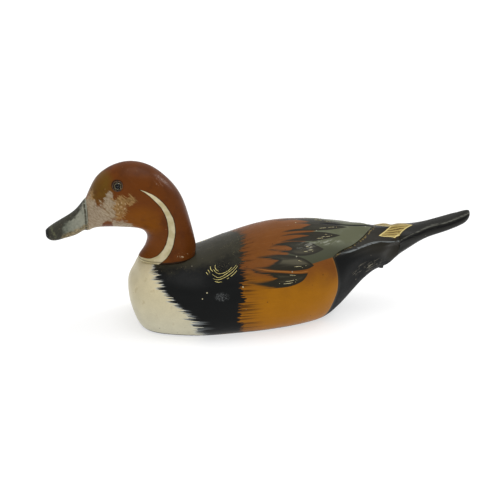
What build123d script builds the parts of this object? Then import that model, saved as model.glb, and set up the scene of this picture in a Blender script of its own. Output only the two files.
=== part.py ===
from build123d import *
import math
import os

# Pintail drake decoy: a hollowed cedar body with an inlet bottom board, a carved head and bill,
# glass eyes on wires, a let-in tail, a lead ballast strip, and a ring-and-staple line tie.
#
# Frame: millimetres, +Z up, the bill towards -X, the duck's left side towards -Y. The flat bottom
# is z = 0, and the origin is under the middle of the whole bird.

os.makedirs("parts", exist_ok=True)

# ---------------------------------------------------------------- driving dimensions
OVERLAP = 2.0                       # how far a cut runs past a face, or a tenon into its own part

SEAT_Z = 70.0                       # level seat that the neck is glued to
SEAT_REAR, SEAT_FRONT, SEAT_HALF = -72.7, -131.3, 23.4
SEAT_CLEAR, SEAT_GAP = 12.0, 0.8    # how far the cut for the seat goes up, and out past the neck
BILL_ROOT_TOP, BILL_ROOT_LOW, BILL_ROOT_HALF = (-183.2, 139.6), (-182.6, 105.4), 14.6
TAIL_ROOT_X, TAIL_ROOT_TOP, TAIL_ROOT_LOW, TAIL_ROOT_HALF = 144.0, 87.6, 52.5, 19.5

BOARD_X, BOARD_LENGTH, BOARD_WIDTH, BOARD_THICK = -28.0, 140.0, 76.0, 9.0
CAVITY_X, CAVITY_LENGTH, CAVITY_WIDTH, CAVITY_ROOF_Z, CAVITY_TAPER = -23.0, 110.0, 54.0, 54.0, 8.0
SHELF_MIDDLE = (BOARD_WIDTH + CAVITY_WIDTH) / 4      # from the centre line to the board's screws
BOARD_SCREW_SPOTS = [
    (x, side * SHELF_MIDDLE) for x in (-62.0, -28.0, 4.0) for side in (-1, 1)
] + [(-84.0, -16.0), (-84.0, 16.0), (37.0, 0.0)]
BOARD_SCREW_LENGTH = 24.0

BALLAST_LENGTH, BALLAST_WIDTH, BALLAST_THICK, BALLAST_CORNER = 84.0, 26.0, 4.5, 4.0
BALLAST_SCREW_SPOTS = [(BOARD_X + step, 0.0) for step in (-32.0, 0.0, 32.0)]
BALLAST_SCREW_LENGTH = 8.4
SCREW_HEAD_RADIUS, SCREW_SHANK_RADIUS, SCREW_CONE, SCREW_TIP = 3.4, 1.6, 1.9, 3.0
SCREW_SLOT_WIDTH, SCREW_SLOT_DEPTH = 0.9, 0.8

NECK_SCREW_X, NECK_SCREW_HEAD_Z, NECK_SCREW_TOP_Z = -88.0, 34.0, 96.0
NECK_SCREW_RADIUS, NECK_SCREW_HEAD_RADIUS, NECK_SCREW_HEAD_HEIGHT = 2.4, 4.4, 3.0
WASHER_RADIUS, WASHER_THICK = 5.4, 1.2
NECK_BORE_RADIUS = 5.6
NECK_DOWEL_SPOTS = [(-110.0, -9.0), (-110.0, 9.0)]
NECK_DOWEL_RADIUS, NECK_DOWEL_LOW_Z, NECK_DOWEL_TOP_Z = 4.0, 50.0, 90.0
BILL_DOWEL_RADIUS, BILL_DOWEL_Z, BILL_DOWEL_FROM, BILL_DOWEL_TO = 4.0, 121.0, -191.0, -168.0

TENON_FROM, TENON_WIDTH, TENON_LOW_Z, TENON_TOP_Z = 112.0, 16.0, 65.0, 78.0
TAIL_PIN_X, TAIL_PIN_RADIUS, TAIL_PIN_HEAD_RADIUS, TAIL_PIN_HEAD_HEIGHT = 130.0, 1.1, 2.4, 1.6
TAIL_PIN_LOW_Z, TAIL_PIN_TOP_Z = 40.8, 76.0

EYE_X, EYE_FACE_Y, EYE_Z = -152.2, 23.3, 158.6       # middle of the eye at the head's skin
EYE_TURN, EYE_LIFT = 16.0, 22.0                      # it looks this far forward and upward
EYE_RADIUS, EYE_THICK, EYE_PROUD = 4.6, 3.6, 1.0
EYE_DOME = 2.88                      # radius that rounds the front edge of the glass
PUPIL_RADIUS, PUPIL_THICK = 2.9, 1.0
PUTTY_RADIUS, PUTTY_BACK, PUTTY_BELOW_SKIN = 5.5, 3.0, 0.6
EYE_WIRE_RADIUS, EYE_WIRE_LENGTH = 0.6, 9.0

TIE_X = -113.5                      # line tie, in the solid breast
RING_RADIUS, RING_WIRE = 8.0, 1.4
STAPLE_WIRE, STAPLE_HALF, STAPLE_Z, STAPLE_TOP_Z, STAPLE_BEND = 1.25, 5.0, 1.6, 30.0, 2.65
RING_GAP = 0.3
RING_Z = STAPLE_Z + STAPLE_WIRE + RING_WIRE + RING_GAP
RING_REST_TILT = 11.0               # the ring's far side hangs down to the bottom's own level
RECESS_LENGTH, RECESS_WIDTH, RECESS_DEPTH = 41.0, 21.0, 7.0

HALF_TURN_STEPS = 8                 # points down each side of a cross-section


# ---------------------------------------------------------------- shapes used more than once
def section_points(depth, half_width, widest, upper, lower):
    """A closed cross-section as points (y, distance down). The width is greatest at the
    fraction `widest` of the depth; `upper` and `lower` are the fullness of the curve above
    and below that level, where 2 is an ellipse and more is boxier."""
    side = []
    for step in range(HALF_TURN_STEPS + 1):
        turn = math.pi * step / HALF_TURN_STEPS
        above = turn <= math.pi / 2
        power = 2 / (upper if above else lower)
        reach = (widest if above else 1 - widest) * depth
        drop = reach * abs(math.cos(turn)) ** power
        across = half_width * abs(math.sin(turn)) ** power
        side.append((across, widest * depth + (-drop if above else drop)))
    side[0] = (0.0, 0.0)
    side[-1] = (0.0, depth)
    return side + [(-across, down) for across, down in reversed(side[1:-1])]


def section_sketch(station):
    """The filled cross-section of a station: top point (x, z), low point (x, z), half width,
    where it is widest, fullness above, fullness below."""
    top, low, half_width, widest, upper, lower = station
    run, fall = low[0] - top[0], low[1] - top[1]
    plane = Plane(origin=(top[0], 0, top[1]), x_dir=(0, 1, 0), z_dir=(fall, 0, -run))
    with BuildSketch(plane) as sketch:
        with BuildLine():
            points = section_points(math.hypot(run, fall), half_width, widest, upper, lower)
            Spline(*points, periodic=True)
        make_face()
    return sketch.sketch


def level(z):
    """A level plane at height z."""
    return Plane.XY.offset(z)


def eye_plane(side, depth=0.0):
    """A plane at an eye, `depth` outside the head's skin, with its normal along the gaze.
    The side is -1 for the duck's left and 1 for its right."""
    turn, lift = math.radians(EYE_TURN), math.radians(EYE_LIFT)
    gaze = Vector(-math.sin(turn) * math.cos(lift), side * math.cos(turn) * math.cos(lift), math.sin(lift))
    middle = Vector(EYE_X, side * EYE_FACE_Y, EYE_Z) + gaze * depth
    return Plane(origin=middle, x_dir=Vector(0, 0, 1).cross(gaze), z_dir=gaze)


def screw_body(length):
    """A countersunk screw standing on z = 0, head down, without its slot."""
    with BuildPart() as screw:
        with BuildSketch(Plane.XZ):
            with BuildLine():
                Polyline(
                    (0, 0), (SCREW_HEAD_RADIUS, 0), (SCREW_SHANK_RADIUS, SCREW_CONE),
                    (SCREW_SHANK_RADIUS, length - SCREW_TIP), (0, length), close=True,
                )
            make_face()
        revolve(axis=Axis.Z)
    return screw.part


def set_out(shape, spots):
    """Copies of a shape at each (x, y) spot."""
    with BuildPart() as group:
        with Locations(*[(x, y, 0) for x, y in spots]):
            add(shape)
    return group.part


def wood_screws(spots, length):
    """Countersunk slotted screws, heads down at z = 0."""
    with BuildPart() as screw:
        add(screw_body(length))
        with BuildSketch():
            Rectangle(2 * SCREW_HEAD_RADIUS + OVERLAP, SCREW_SLOT_WIDTH)
        extrude(amount=SCREW_SLOT_DEPTH, mode=Mode.SUBTRACT)
    return set_out(screw.part, spots)


def screw_holes(spots, length):
    """The countersunk holes that those screws fill."""
    return set_out(screw_body(length), spots)


# ---------------------------------------------------------------- stations
# All of the body's and tail's stations are upright. The head's lean with the neck.
TAIL_ROOT = ((TAIL_ROOT_X, TAIL_ROOT_TOP), (TAIL_ROOT_X, TAIL_ROOT_LOW), TAIL_ROOT_HALF, 0.30, 1.6, 1.8)
NECK_SEAT = ((SEAT_REAR, SEAT_Z), (SEAT_FRONT, SEAT_Z), SEAT_HALF, 0.50, 2.0, 2.0)
BILL_ROOT = (BILL_ROOT_TOP, BILL_ROOT_LOW, BILL_ROOT_HALF, 0.50, 2.0, 2.2)
BREAST_TIP = (-143.0, 36.0)
BODY_STATIONS = [
    ((-142.5, 43.5), (-142.5, 28.5), 11.0, 0.50, 2.0, 2.0),
    ((-140.6, 51.6), (-140.6, 18.5), 24.0, 0.48, 2.0, 2.1),
    ((-136.5, 60.2), (-136.5, 6.5), 35.0, 0.48, 2.0, 2.2),
    ((-131.0, 67.8), (-131.0, -2.0), 43.0, 0.46, 2.0, 2.3),
    ((-121.0, 72.0), (-121.0, -7.5), 51.0, 0.45, 2.0, 2.4),
    ((-104.0, 73.2), (-104.0, -9.5), 59.0, 0.45, 2.0, 2.5),
    ((-86.0, 72.6), (-86.0, -10.0), 64.5, 0.44, 2.0, 2.6),
    ((-67.0, 73.4), (-67.0, -10.0), 68.0, 0.42, 2.0, 2.7),
    ((-44.0, 80.3), (-44.0, -10.0), 69.5, 0.40, 2.0, 2.75),
    ((-20.0, 88.6), (-20.0, -10.0), 70.0, 0.42, 2.0, 2.7),
    ((-1.0, 94.0), (-1.0, -9.5), 70.0, 0.44, 2.0, 2.6),
    ((19.0, 97.3), (19.0, -9.0), 68.8, 0.45, 2.0, 2.45),
    ((40.0, 97.8), (40.0, -8.0), 65.5, 0.44, 2.0, 2.3),
    ((62.0, 96.0), (62.0, -5.0), 57.0, 0.38, 2.1, 2.2),
    ((84.0, 93.2), (84.0, 5.0), 45.0, 0.17, 1.6, 1.8),
    ((104.0, 90.2), (104.0, 25.0), 34.0, 0.17, 1.5, 1.6),
    ((124.0, 87.6), (124.0, 40.5), 25.5, 0.19, 1.5, 1.6),
    TAIL_ROOT,
]
HEAD_STATIONS = [
    NECK_SEAT,
    ((-71.4, 79.0), (-126.6, 79.0), 21.6, 0.50, 2.0, 2.0),
    ((-73.0, 92.0), (-122.2, 90.0), 20.6, 0.50, 2.0, 2.1),
    ((-78.0, 113.5), (-122.6, 97.5), 21.0, 0.50, 2.1, 2.1),
    ((-87.3, 140.0), (-128.0, 104.0), 23.8, 0.50, 2.1, 2.1),
    ((-99.4, 156.2), (-136.0, 106.6), 26.2, 0.50, 2.1, 2.1),
    ((-116.0, 169.6), (-145.0, 107.6), 27.6, 0.48, 2.1, 2.1),
    ((-137.0, 175.4), (-155.0, 108.6), 27.8, 0.47, 2.1, 2.1),
    ((-155.6, 171.4), (-165.0, 109.0), 25.4, 0.47, 2.1, 2.1),
    ((-169.3, 161.2), (-174.5, 108.6), 20.8, 0.50, 2.1, 2.1),
    ((-178.8, 146.8), (-180.0, 106.6), 16.2, 0.50, 2.0, 2.1),
    BILL_ROOT,
]
BILL_STATIONS = [
    BILL_ROOT,
    ((-193.0, 128.6), (-193.0, 103.2), 13.2, 0.55, 2.0, 2.4),
    ((-203.0, 121.4), (-203.0, 100.5), 12.8, 0.60, 2.0, 2.6),
    ((-212.0, 116.2), (-212.0, 98.7), 13.4, 0.60, 2.0, 2.6),
    ((-219.0, 112.0), (-219.0, 98.0), 12.0, 0.60, 2.0, 2.4),
    ((-223.0, 109.4), (-223.0, 99.2), 8.8, 0.60, 2.0, 2.2),
    ((-225.3, 107.0), (-225.3, 102.4), 3.6, 0.50, 2.0, 2.0),
]
TAIL_STATIONS = [
    TAIL_ROOT,
    ((157.0, 87.3), (157.0, 62.6), 17.0, 0.25, 1.7, 2.1),
    ((169.0, 87.6), (169.0, 70.0), 13.6, 0.25, 1.8, 2.4),
    ((184.0, 90.2), (184.0, 75.8), 11.4, 0.25, 1.9, 2.6),
    ((200.0, 93.6), (200.0, 80.2), 11.0, 0.25, 2.0, 2.6),
    ((213.0, 97.2), (213.0, 84.4), 10.0, 0.30, 2.1, 2.4),
    ((221.0, 100.0), (221.0, 88.0), 7.4, 0.40, 2.1, 2.2),
    ((225.3, 100.4), (225.3, 93.6), 3.4, 0.50, 2.0, 2.0),
]

# ---------------------------------------------------------------- body and bottom board
with BuildPart() as body:
    breast_tip = Vertex(BREAST_TIP[0], 0, BREAST_TIP[1])
    loft(sections=[breast_tip] + [section_sketch(station) for station in BODY_STATIONS])
    split(bisect_by=Plane.XY, keep=Keep.TOP)
    # the level seat for the neck
    with BuildSketch(level(SEAT_Z)):
        with Locations(((SEAT_REAR + SEAT_FRONT) / 2, 0)):
            Ellipse((SEAT_REAR - SEAT_FRONT) / 2 + SEAT_GAP, SEAT_HALF + SEAT_GAP)
    extrude(amount=SEAT_CLEAR, mode=Mode.SUBTRACT)
    # rabbet for the board, and the hollow above it
    with BuildSketch():
        with Locations((BOARD_X, 0)):
            SlotOverall(BOARD_LENGTH, BOARD_WIDTH)
    extrude(amount=BOARD_THICK, mode=Mode.SUBTRACT)
    with BuildSketch(level(BOARD_THICK)):
        with Locations((CAVITY_X, 0)):
            SlotOverall(CAVITY_LENGTH, CAVITY_WIDTH)
    extrude(amount=CAVITY_ROOF_Z - BOARD_THICK, taper=CAVITY_TAPER, mode=Mode.SUBTRACT)
    # neck screw: a deep bore for its head, and the shank hole up through the seat
    with BuildSketch(level(BOARD_THICK)):
        with Locations((NECK_SCREW_X, 0)):
            Circle(NECK_BORE_RADIUS)
    extrude(amount=NECK_SCREW_HEAD_Z + WASHER_THICK - BOARD_THICK, mode=Mode.SUBTRACT)
    with BuildSketch(level(NECK_SCREW_HEAD_Z)):
        with Locations((NECK_SCREW_X, 0)):
            Circle(NECK_SCREW_RADIUS)
    extrude(amount=SEAT_Z + OVERLAP - NECK_SCREW_HEAD_Z, mode=Mode.SUBTRACT)
    with BuildSketch(level(NECK_DOWEL_LOW_Z)):
        with Locations(*NECK_DOWEL_SPOTS):
            Circle(NECK_DOWEL_RADIUS)
    extrude(amount=SEAT_Z + OVERLAP - NECK_DOWEL_LOW_Z, mode=Mode.SUBTRACT)
    # mortise for the tail's tenon, the hole for its pin, and a flat for the pin's head
    with BuildSketch(Plane(origin=(TENON_FROM, 0, 0), x_dir=(0, 1, 0), z_dir=(1, 0, 0))):
        with Locations((0, (TENON_LOW_Z + TENON_TOP_Z) / 2)):
            Rectangle(TENON_WIDTH, TENON_TOP_Z - TENON_LOW_Z)
    extrude(amount=TAIL_ROOT_X + OVERLAP - TENON_FROM, mode=Mode.SUBTRACT)
    with BuildSketch():
        with Locations((TAIL_PIN_X, 0)):
            Circle(TAIL_PIN_RADIUS)
    extrude(amount=TENON_LOW_Z + OVERLAP, mode=Mode.SUBTRACT)
    with BuildSketch():
        with Locations((TAIL_PIN_X, 0)):
            Circle(TAIL_PIN_HEAD_RADIUS)
    extrude(amount=TAIL_PIN_LOW_Z + TAIL_PIN_HEAD_HEIGHT, mode=Mode.SUBTRACT)
    # recess for the line tie's ring, and the staple's two holes
    with BuildSketch():
        with Locations((TIE_X, 0)):
            SlotOverall(RECESS_LENGTH, RECESS_WIDTH, rotation=90)
    extrude(amount=RECESS_DEPTH, mode=Mode.SUBTRACT)
    with BuildSketch():
        with Locations((TIE_X, -STAPLE_HALF), (TIE_X, STAPLE_HALF)):
            Circle(STAPLE_WIRE)
    extrude(amount=STAPLE_TOP_Z, mode=Mode.SUBTRACT)
    add(screw_holes(BOARD_SCREW_SPOTS, BOARD_SCREW_LENGTH), mode=Mode.SUBTRACT)
body.part.label = "body"
export_step(body.part, "parts/body.step")

with BuildPart() as bottom_board:
    with BuildSketch():
        with Locations((BOARD_X, 0)):
            SlotOverall(BOARD_LENGTH, BOARD_WIDTH)
    extrude(amount=BOARD_THICK)
    with BuildSketch():
        with Locations((BOARD_X, 0)):
            RectangleRounded(BALLAST_LENGTH, BALLAST_WIDTH, BALLAST_CORNER)
    extrude(amount=BALLAST_THICK, mode=Mode.SUBTRACT)
    add(screw_holes(BOARD_SCREW_SPOTS, BOARD_SCREW_LENGTH), mode=Mode.SUBTRACT)
    add(screw_holes(BALLAST_SCREW_SPOTS, BALLAST_SCREW_LENGTH), mode=Mode.SUBTRACT)
bottom_board.part.label = "bottom_board"
export_step(bottom_board.part, "parts/bottom_board.step")

with BuildPart() as bottom_board_screws:
    add(wood_screws(BOARD_SCREW_SPOTS, BOARD_SCREW_LENGTH))
bottom_board_screws.part.label = "bottom_board_screws"
export_step(bottom_board_screws.part, "parts/bottom_board_screws.step")

# ---------------------------------------------------------------- ballast
with BuildPart() as ballast_weight:
    with BuildSketch():
        with Locations((BOARD_X, 0)):
            RectangleRounded(BALLAST_LENGTH, BALLAST_WIDTH, BALLAST_CORNER)
    extrude(amount=BALLAST_THICK)
    add(screw_holes(BALLAST_SCREW_SPOTS, BALLAST_SCREW_LENGTH), mode=Mode.SUBTRACT)
ballast_weight.part.label = "ballast_weight"
export_step(ballast_weight.part, "parts/ballast_weight.step")

with BuildPart() as ballast_screws:
    add(wood_screws(BALLAST_SCREW_SPOTS, BALLAST_SCREW_LENGTH))
ballast_screws.part.label = "ballast_screws"
export_step(ballast_screws.part, "parts/ballast_screws.step")

# ---------------------------------------------------------------- head, neck joint and bill
with BuildPart() as head:
    loft(sections=[section_sketch(station) for station in HEAD_STATIONS])
    with BuildSketch(level(SEAT_Z - OVERLAP)):
        with Locations((NECK_SCREW_X, 0)):
            Circle(NECK_SCREW_RADIUS)
    extrude(amount=NECK_SCREW_TOP_Z - SEAT_Z + OVERLAP, mode=Mode.SUBTRACT)
    with BuildSketch(level(SEAT_Z - OVERLAP)):
        with Locations(*NECK_DOWEL_SPOTS):
            Circle(NECK_DOWEL_RADIUS)
    extrude(amount=NECK_DOWEL_TOP_Z - SEAT_Z + OVERLAP, mode=Mode.SUBTRACT)
    with BuildSketch(Plane(origin=(BILL_DOWEL_FROM, 0, BILL_DOWEL_Z), z_dir=(1, 0, 0))):
        Circle(BILL_DOWEL_RADIUS)
    extrude(amount=BILL_DOWEL_TO - BILL_DOWEL_FROM, mode=Mode.SUBTRACT)
    for side in (-1, 1):
        with BuildSketch(eye_plane(side, EYE_PROUD - EYE_THICK - PUTTY_BACK)):
            Circle(PUTTY_RADIUS)
        extrude(amount=EYE_THICK + PUTTY_BACK + OVERLAP, mode=Mode.SUBTRACT)
        with BuildSketch(eye_plane(side, EYE_PROUD - EYE_THICK - EYE_WIRE_LENGTH)):
            Circle(EYE_WIRE_RADIUS)
        extrude(amount=EYE_WIRE_LENGTH, mode=Mode.SUBTRACT)
head.part.label = "head"
export_step(head.part, "parts/head.step")

with BuildPart() as neck_dowels:
    with BuildSketch(level(NECK_DOWEL_LOW_Z)):
        with Locations(*NECK_DOWEL_SPOTS):
            Circle(NECK_DOWEL_RADIUS)
    extrude(amount=NECK_DOWEL_TOP_Z - NECK_DOWEL_LOW_Z)
neck_dowels.part.label = "neck_dowels"
export_step(neck_dowels.part, "parts/neck_dowels.step")

with BuildPart() as neck_screw:
    with BuildSketch(level(NECK_SCREW_HEAD_Z - NECK_SCREW_HEAD_HEIGHT)):
        with Locations((NECK_SCREW_X, 0)):
            Circle(NECK_SCREW_HEAD_RADIUS)
    extrude(amount=NECK_SCREW_HEAD_HEIGHT)
    with BuildSketch(level(NECK_SCREW_HEAD_Z)):
        with Locations((NECK_SCREW_X, 0)):
            Circle(NECK_SCREW_RADIUS)
    extrude(amount=NECK_SCREW_TOP_Z - NECK_SCREW_HEAD_Z)
    with BuildSketch(level(NECK_SCREW_HEAD_Z - NECK_SCREW_HEAD_HEIGHT)):
        with Locations((NECK_SCREW_X, 0)):
            Rectangle(2 * NECK_SCREW_HEAD_RADIUS + OVERLAP, SCREW_SLOT_WIDTH)
    extrude(amount=SCREW_SLOT_DEPTH, mode=Mode.SUBTRACT)
neck_screw.part.label = "neck_screw"
export_step(neck_screw.part, "parts/neck_screw.step")

with BuildPart() as neck_screw_washer:
    with BuildSketch(level(NECK_SCREW_HEAD_Z)):
        with Locations((NECK_SCREW_X, 0)):
            Circle(WASHER_RADIUS)
            Circle(NECK_SCREW_RADIUS, mode=Mode.SUBTRACT)
    extrude(amount=WASHER_THICK)
neck_screw_washer.part.label = "neck_screw_washer"
export_step(neck_screw_washer.part, "parts/neck_screw_washer.step")

with BuildPart() as bill:
    loft(sections=[section_sketch(station) for station in BILL_STATIONS])
    with BuildSketch(Plane(origin=(BILL_DOWEL_FROM, 0, BILL_DOWEL_Z), z_dir=(1, 0, 0))):
        Circle(BILL_DOWEL_RADIUS)
    extrude(amount=BILL_DOWEL_TO - BILL_DOWEL_FROM, mode=Mode.SUBTRACT)
bill.part.label = "bill"
export_step(bill.part, "parts/bill.step")

with BuildPart() as bill_dowel:
    with BuildSketch(Plane(origin=(BILL_DOWEL_FROM, 0, BILL_DOWEL_Z), z_dir=(1, 0, 0))):
        Circle(BILL_DOWEL_RADIUS)
    extrude(amount=BILL_DOWEL_TO - BILL_DOWEL_FROM)
bill_dowel.part.label = "bill_dowel"
export_step(bill_dowel.part, "parts/bill_dowel.step")

# ---------------------------------------------------------------- eyes
for side, side_name in ((-1, "left"), (1, "right")):
    with BuildPart() as eye_glass:
        with BuildSketch(eye_plane(side, EYE_PROUD - EYE_THICK)):
            Circle(EYE_RADIUS)
        extrude(amount=EYE_THICK)
        rim = eye_glass.faces().sort_by(Axis(eye_plane(side).origin, eye_plane(side).z_dir))[-1]
        fillet(rim.edges(), radius=EYE_DOME)
        with BuildSketch(eye_plane(side, EYE_PROUD - EYE_THICK)):
            Circle(PUPIL_RADIUS)
        extrude(amount=PUPIL_THICK, mode=Mode.SUBTRACT)
    eye_glass.part.label = "eye_glass_" + side_name
    export_step(eye_glass.part, "parts/eye_glass_" + side_name + ".step")

    with BuildPart() as eye_pupil:
        with BuildSketch(eye_plane(side, EYE_PROUD - EYE_THICK)):
            Circle(PUPIL_RADIUS)
        extrude(amount=PUPIL_THICK)
    eye_pupil.part.label = "eye_pupil_" + side_name
    export_step(eye_pupil.part, "parts/eye_pupil_" + side_name + ".step")

    with BuildPart() as eye_putty:
        with BuildSketch(eye_plane(side, EYE_PROUD - EYE_THICK - PUTTY_BACK)):
            Circle(PUTTY_RADIUS)
        extrude(amount=PUTTY_BACK + EYE_THICK - EYE_PROUD - PUTTY_BELOW_SKIN)
        with BuildSketch(eye_plane(side, EYE_PROUD - EYE_THICK)):
            Circle(EYE_RADIUS)
        extrude(amount=EYE_THICK, mode=Mode.SUBTRACT)
        with BuildSketch(eye_plane(side, EYE_PROUD - EYE_THICK - EYE_WIRE_LENGTH)):
            Circle(EYE_WIRE_RADIUS)
        extrude(amount=EYE_WIRE_LENGTH, mode=Mode.SUBTRACT)
    eye_putty.part.label = "eye_putty_" + side_name
    export_step(eye_putty.part, "parts/eye_putty_" + side_name + ".step")

    with BuildPart() as eye_wire:
        with BuildSketch(eye_plane(side, EYE_PROUD - EYE_THICK - EYE_WIRE_LENGTH)):
            Circle(EYE_WIRE_RADIUS)
        extrude(amount=EYE_WIRE_LENGTH)
    eye_wire.part.label = "eye_wire_" + side_name
    export_step(eye_wire.part, "parts/eye_wire_" + side_name + ".step")

# ---------------------------------------------------------------- tail and its pin
with BuildPart() as tail:
    loft(sections=[section_sketch(station) for station in TAIL_STATIONS])
    with BuildSketch(Plane(origin=(TENON_FROM, 0, 0), x_dir=(0, 1, 0), z_dir=(1, 0, 0))):
        with Locations((0, (TENON_LOW_Z + TENON_TOP_Z) / 2)):
            Rectangle(TENON_WIDTH, TENON_TOP_Z - TENON_LOW_Z)
    extrude(amount=TAIL_ROOT_X + OVERLAP - TENON_FROM)
    with BuildSketch(level(TENON_LOW_Z - OVERLAP)):
        with Locations((TAIL_PIN_X, 0)):
            Circle(TAIL_PIN_RADIUS)
    extrude(amount=TAIL_PIN_TOP_Z - TENON_LOW_Z + OVERLAP, mode=Mode.SUBTRACT)
tail.part.label = "tail"
export_step(tail.part, "parts/tail.step")

with BuildPart() as tail_pin:
    with BuildSketch(level(TAIL_PIN_LOW_Z)):
        with Locations((TAIL_PIN_X, 0)):
            Circle(TAIL_PIN_HEAD_RADIUS)
    extrude(amount=TAIL_PIN_HEAD_HEIGHT)
    with BuildSketch(level(TAIL_PIN_LOW_Z)):
        with Locations((TAIL_PIN_X, 0)):
            Circle(TAIL_PIN_RADIUS)
    extrude(amount=TAIL_PIN_TOP_Z - TAIL_PIN_LOW_Z)
tail_pin.part.label = "tail_pin"
export_step(tail_pin.part, "parts/tail_pin.step")

# ---------------------------------------------------------------- line tie
with BuildPart() as line_tie_staple:
    with BuildLine():
        FilletPolyline(
            (TIE_X, -STAPLE_HALF, STAPLE_TOP_Z), (TIE_X, -STAPLE_HALF, STAPLE_Z),
            (TIE_X, STAPLE_HALF, STAPLE_Z), (TIE_X, STAPLE_HALF, STAPLE_TOP_Z), radius=STAPLE_BEND,
        )
    with BuildSketch(Plane(origin=(TIE_X, -STAPLE_HALF, STAPLE_TOP_Z), z_dir=(0, 0, -1))):
        Circle(STAPLE_WIRE)
    sweep()
line_tie_staple.part.label = "line_tie_staple"
export_step(line_tie_staple.part, "parts/line_tie_staple.step")

# The ring hangs on the staple's crown, and turns about its own wire there. At rest it lies
# round the staple's left leg, with its far side down at the level of the flat bottom.
tilt = math.radians(RING_REST_TILT)
ring_out = Vector(0, -math.cos(tilt), -math.sin(tilt))
ring_normal = Vector(1, 0, 0).cross(ring_out)
ring_middle = Vector(TIE_X, 0, RING_Z) + ring_out * RING_RADIUS
with BuildPart() as line_tie_ring:
    with BuildSketch(Plane(origin=ring_middle + ring_out * RING_RADIUS, x_dir=ring_out, z_dir=(1, 0, 0))):
        Circle(RING_WIRE)
    revolve(axis=Axis(ring_middle, ring_normal), revolution_arc=360)
line_tie_ring.part.label = "line_tie_ring"
export_step(line_tie_ring.part, "parts/line_tie_ring.step")
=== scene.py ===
"""The looks of the pintail drake decoy: carved wooden skins with their hand-painted plumage, glass
eyes, brush strokes in gold, and the bare hardware underneath. Lengths are in metres unless a name
ends in _mm, and the plumage is laid out in millimetres: x runs from the breast to the tail, and the
girth is an angle in degrees about the body's long axis, 90 on the back and 0 on the flank."""
import copy
import math
import bmesh
import bpy
import numpy as np
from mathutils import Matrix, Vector, noise
from mathutils.bvhtree import BVHTree


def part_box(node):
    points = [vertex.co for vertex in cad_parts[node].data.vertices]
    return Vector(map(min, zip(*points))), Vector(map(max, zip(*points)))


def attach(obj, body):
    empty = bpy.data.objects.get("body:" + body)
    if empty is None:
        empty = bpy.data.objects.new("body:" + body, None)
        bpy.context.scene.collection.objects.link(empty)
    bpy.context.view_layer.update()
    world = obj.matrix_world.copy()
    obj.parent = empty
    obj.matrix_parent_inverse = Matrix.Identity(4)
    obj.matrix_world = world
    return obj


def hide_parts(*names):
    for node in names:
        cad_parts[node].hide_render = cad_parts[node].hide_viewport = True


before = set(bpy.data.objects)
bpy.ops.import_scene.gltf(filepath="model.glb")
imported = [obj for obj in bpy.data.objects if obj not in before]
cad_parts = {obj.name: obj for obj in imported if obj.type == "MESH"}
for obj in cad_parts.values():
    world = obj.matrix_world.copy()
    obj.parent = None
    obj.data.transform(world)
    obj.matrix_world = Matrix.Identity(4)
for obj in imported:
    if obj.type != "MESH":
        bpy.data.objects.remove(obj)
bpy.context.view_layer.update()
MM = 0.001
AXIS_Z_MM = 45                    # height of the line that the girth angle is measured about


# ---------------------------------------------------------------- arithmetic in node trees
def plug(tree, socket, value):
    """Sets a socket to a constant, or links it to a Num's or another socket."""
    if isinstance(value, Num):
        tree.links.new(value.socket, socket)
    elif isinstance(value, bpy.types.NodeSocket):
        tree.links.new(value, socket)
    elif isinstance(value, tuple) and len(value) == 3 and len(socket.default_value) == 4:
        socket.default_value = (*value, 1)
    else:
        socket.default_value = value


def arithmetic(operation):
    """A method that adds one math node."""
    return lambda number, *others: number.do(operation, *others)


class Num:
    """A number that varies over a surface. Arithmetic on it adds nodes to its material."""

    def __init__(self, tree, socket):
        self.tree = tree
        self.socket = socket

    def do(self, operation, *others):
        node = self.tree.nodes.new("ShaderNodeMath")
        node.operation = operation
        for place, value in enumerate((self,) + others):
            plug(self.tree, node.inputs[place], value)
        return Num(self.tree, node.outputs[0])

    def __rsub__(self, other):
        return self * -1 + other

    __add__ = __radd__ = arithmetic("ADD")
    __sub__ = arithmetic("SUBTRACT")
    __mul__ = __rmul__ = arithmetic("MULTIPLY")
    __truediv__ = arithmetic("DIVIDE")
    size = arithmetic("ABSOLUTE")
    least = arithmetic("MINIMUM")
    most = arithmetic("MAXIMUM")
    power = arithmetic("POWER")
    root = arithmetic("SQRT")
    wave = arithmetic("SINE")

    def ramp(self, low, high):
        """0 at low and 1 at high, with soft ends."""
        node = self.tree.nodes.new("ShaderNodeMapRange")
        node.interpolation_type = "SMOOTHSTEP"
        plug(self.tree, node.inputs["Value"], self)
        plug(self.tree, node.inputs["From Min"], low)
        plug(self.tree, node.inputs["From Max"], high)
        return Num(self.tree, node.outputs["Result"])

    def along(self, points, corners=()):
        """The height of a smooth curve through (value, height) points. It is level past the ends,
        and has a corner at each point whose number is in corners."""
        node = self.tree.nodes.new("ShaderNodeFloatCurve")
        low, high, floor, span = set_curve(node.mapping, points, corners)
        unit = self.tree.nodes.new("ShaderNodeMapRange")
        plug(self.tree, unit.inputs["Value"], self)
        unit.inputs["From Min"].default_value = low
        unit.inputs["From Max"].default_value = high
        self.tree.links.new(unit.outputs["Result"], node.inputs["Value"])
        return Num(self.tree, node.outputs["Value"]) * span + floor


def set_curve(mapping, points, corners):
    """Draws a smooth curve through the points in a unit square, and gives the square's frame."""
    xs, ys = zip(*points)
    low, high, floor, span = min(xs), max(xs), min(ys), max(max(ys) - min(ys), 1e-6)
    curve = mapping.curves[0]
    while len(curve.points) < len(points):
        curve.points.new(0.5, 0.5)
    for number, (x, y) in enumerate(sorted(points)):
        curve.points[number].location = ((x - low) / (high - low), (y - floor) / span)
        curve.points[number].handle_type = "VECTOR" if number in corners else "AUTO"
    mapping.use_clip = False
    mapping.update()
    return low, high, floor, span


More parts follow.
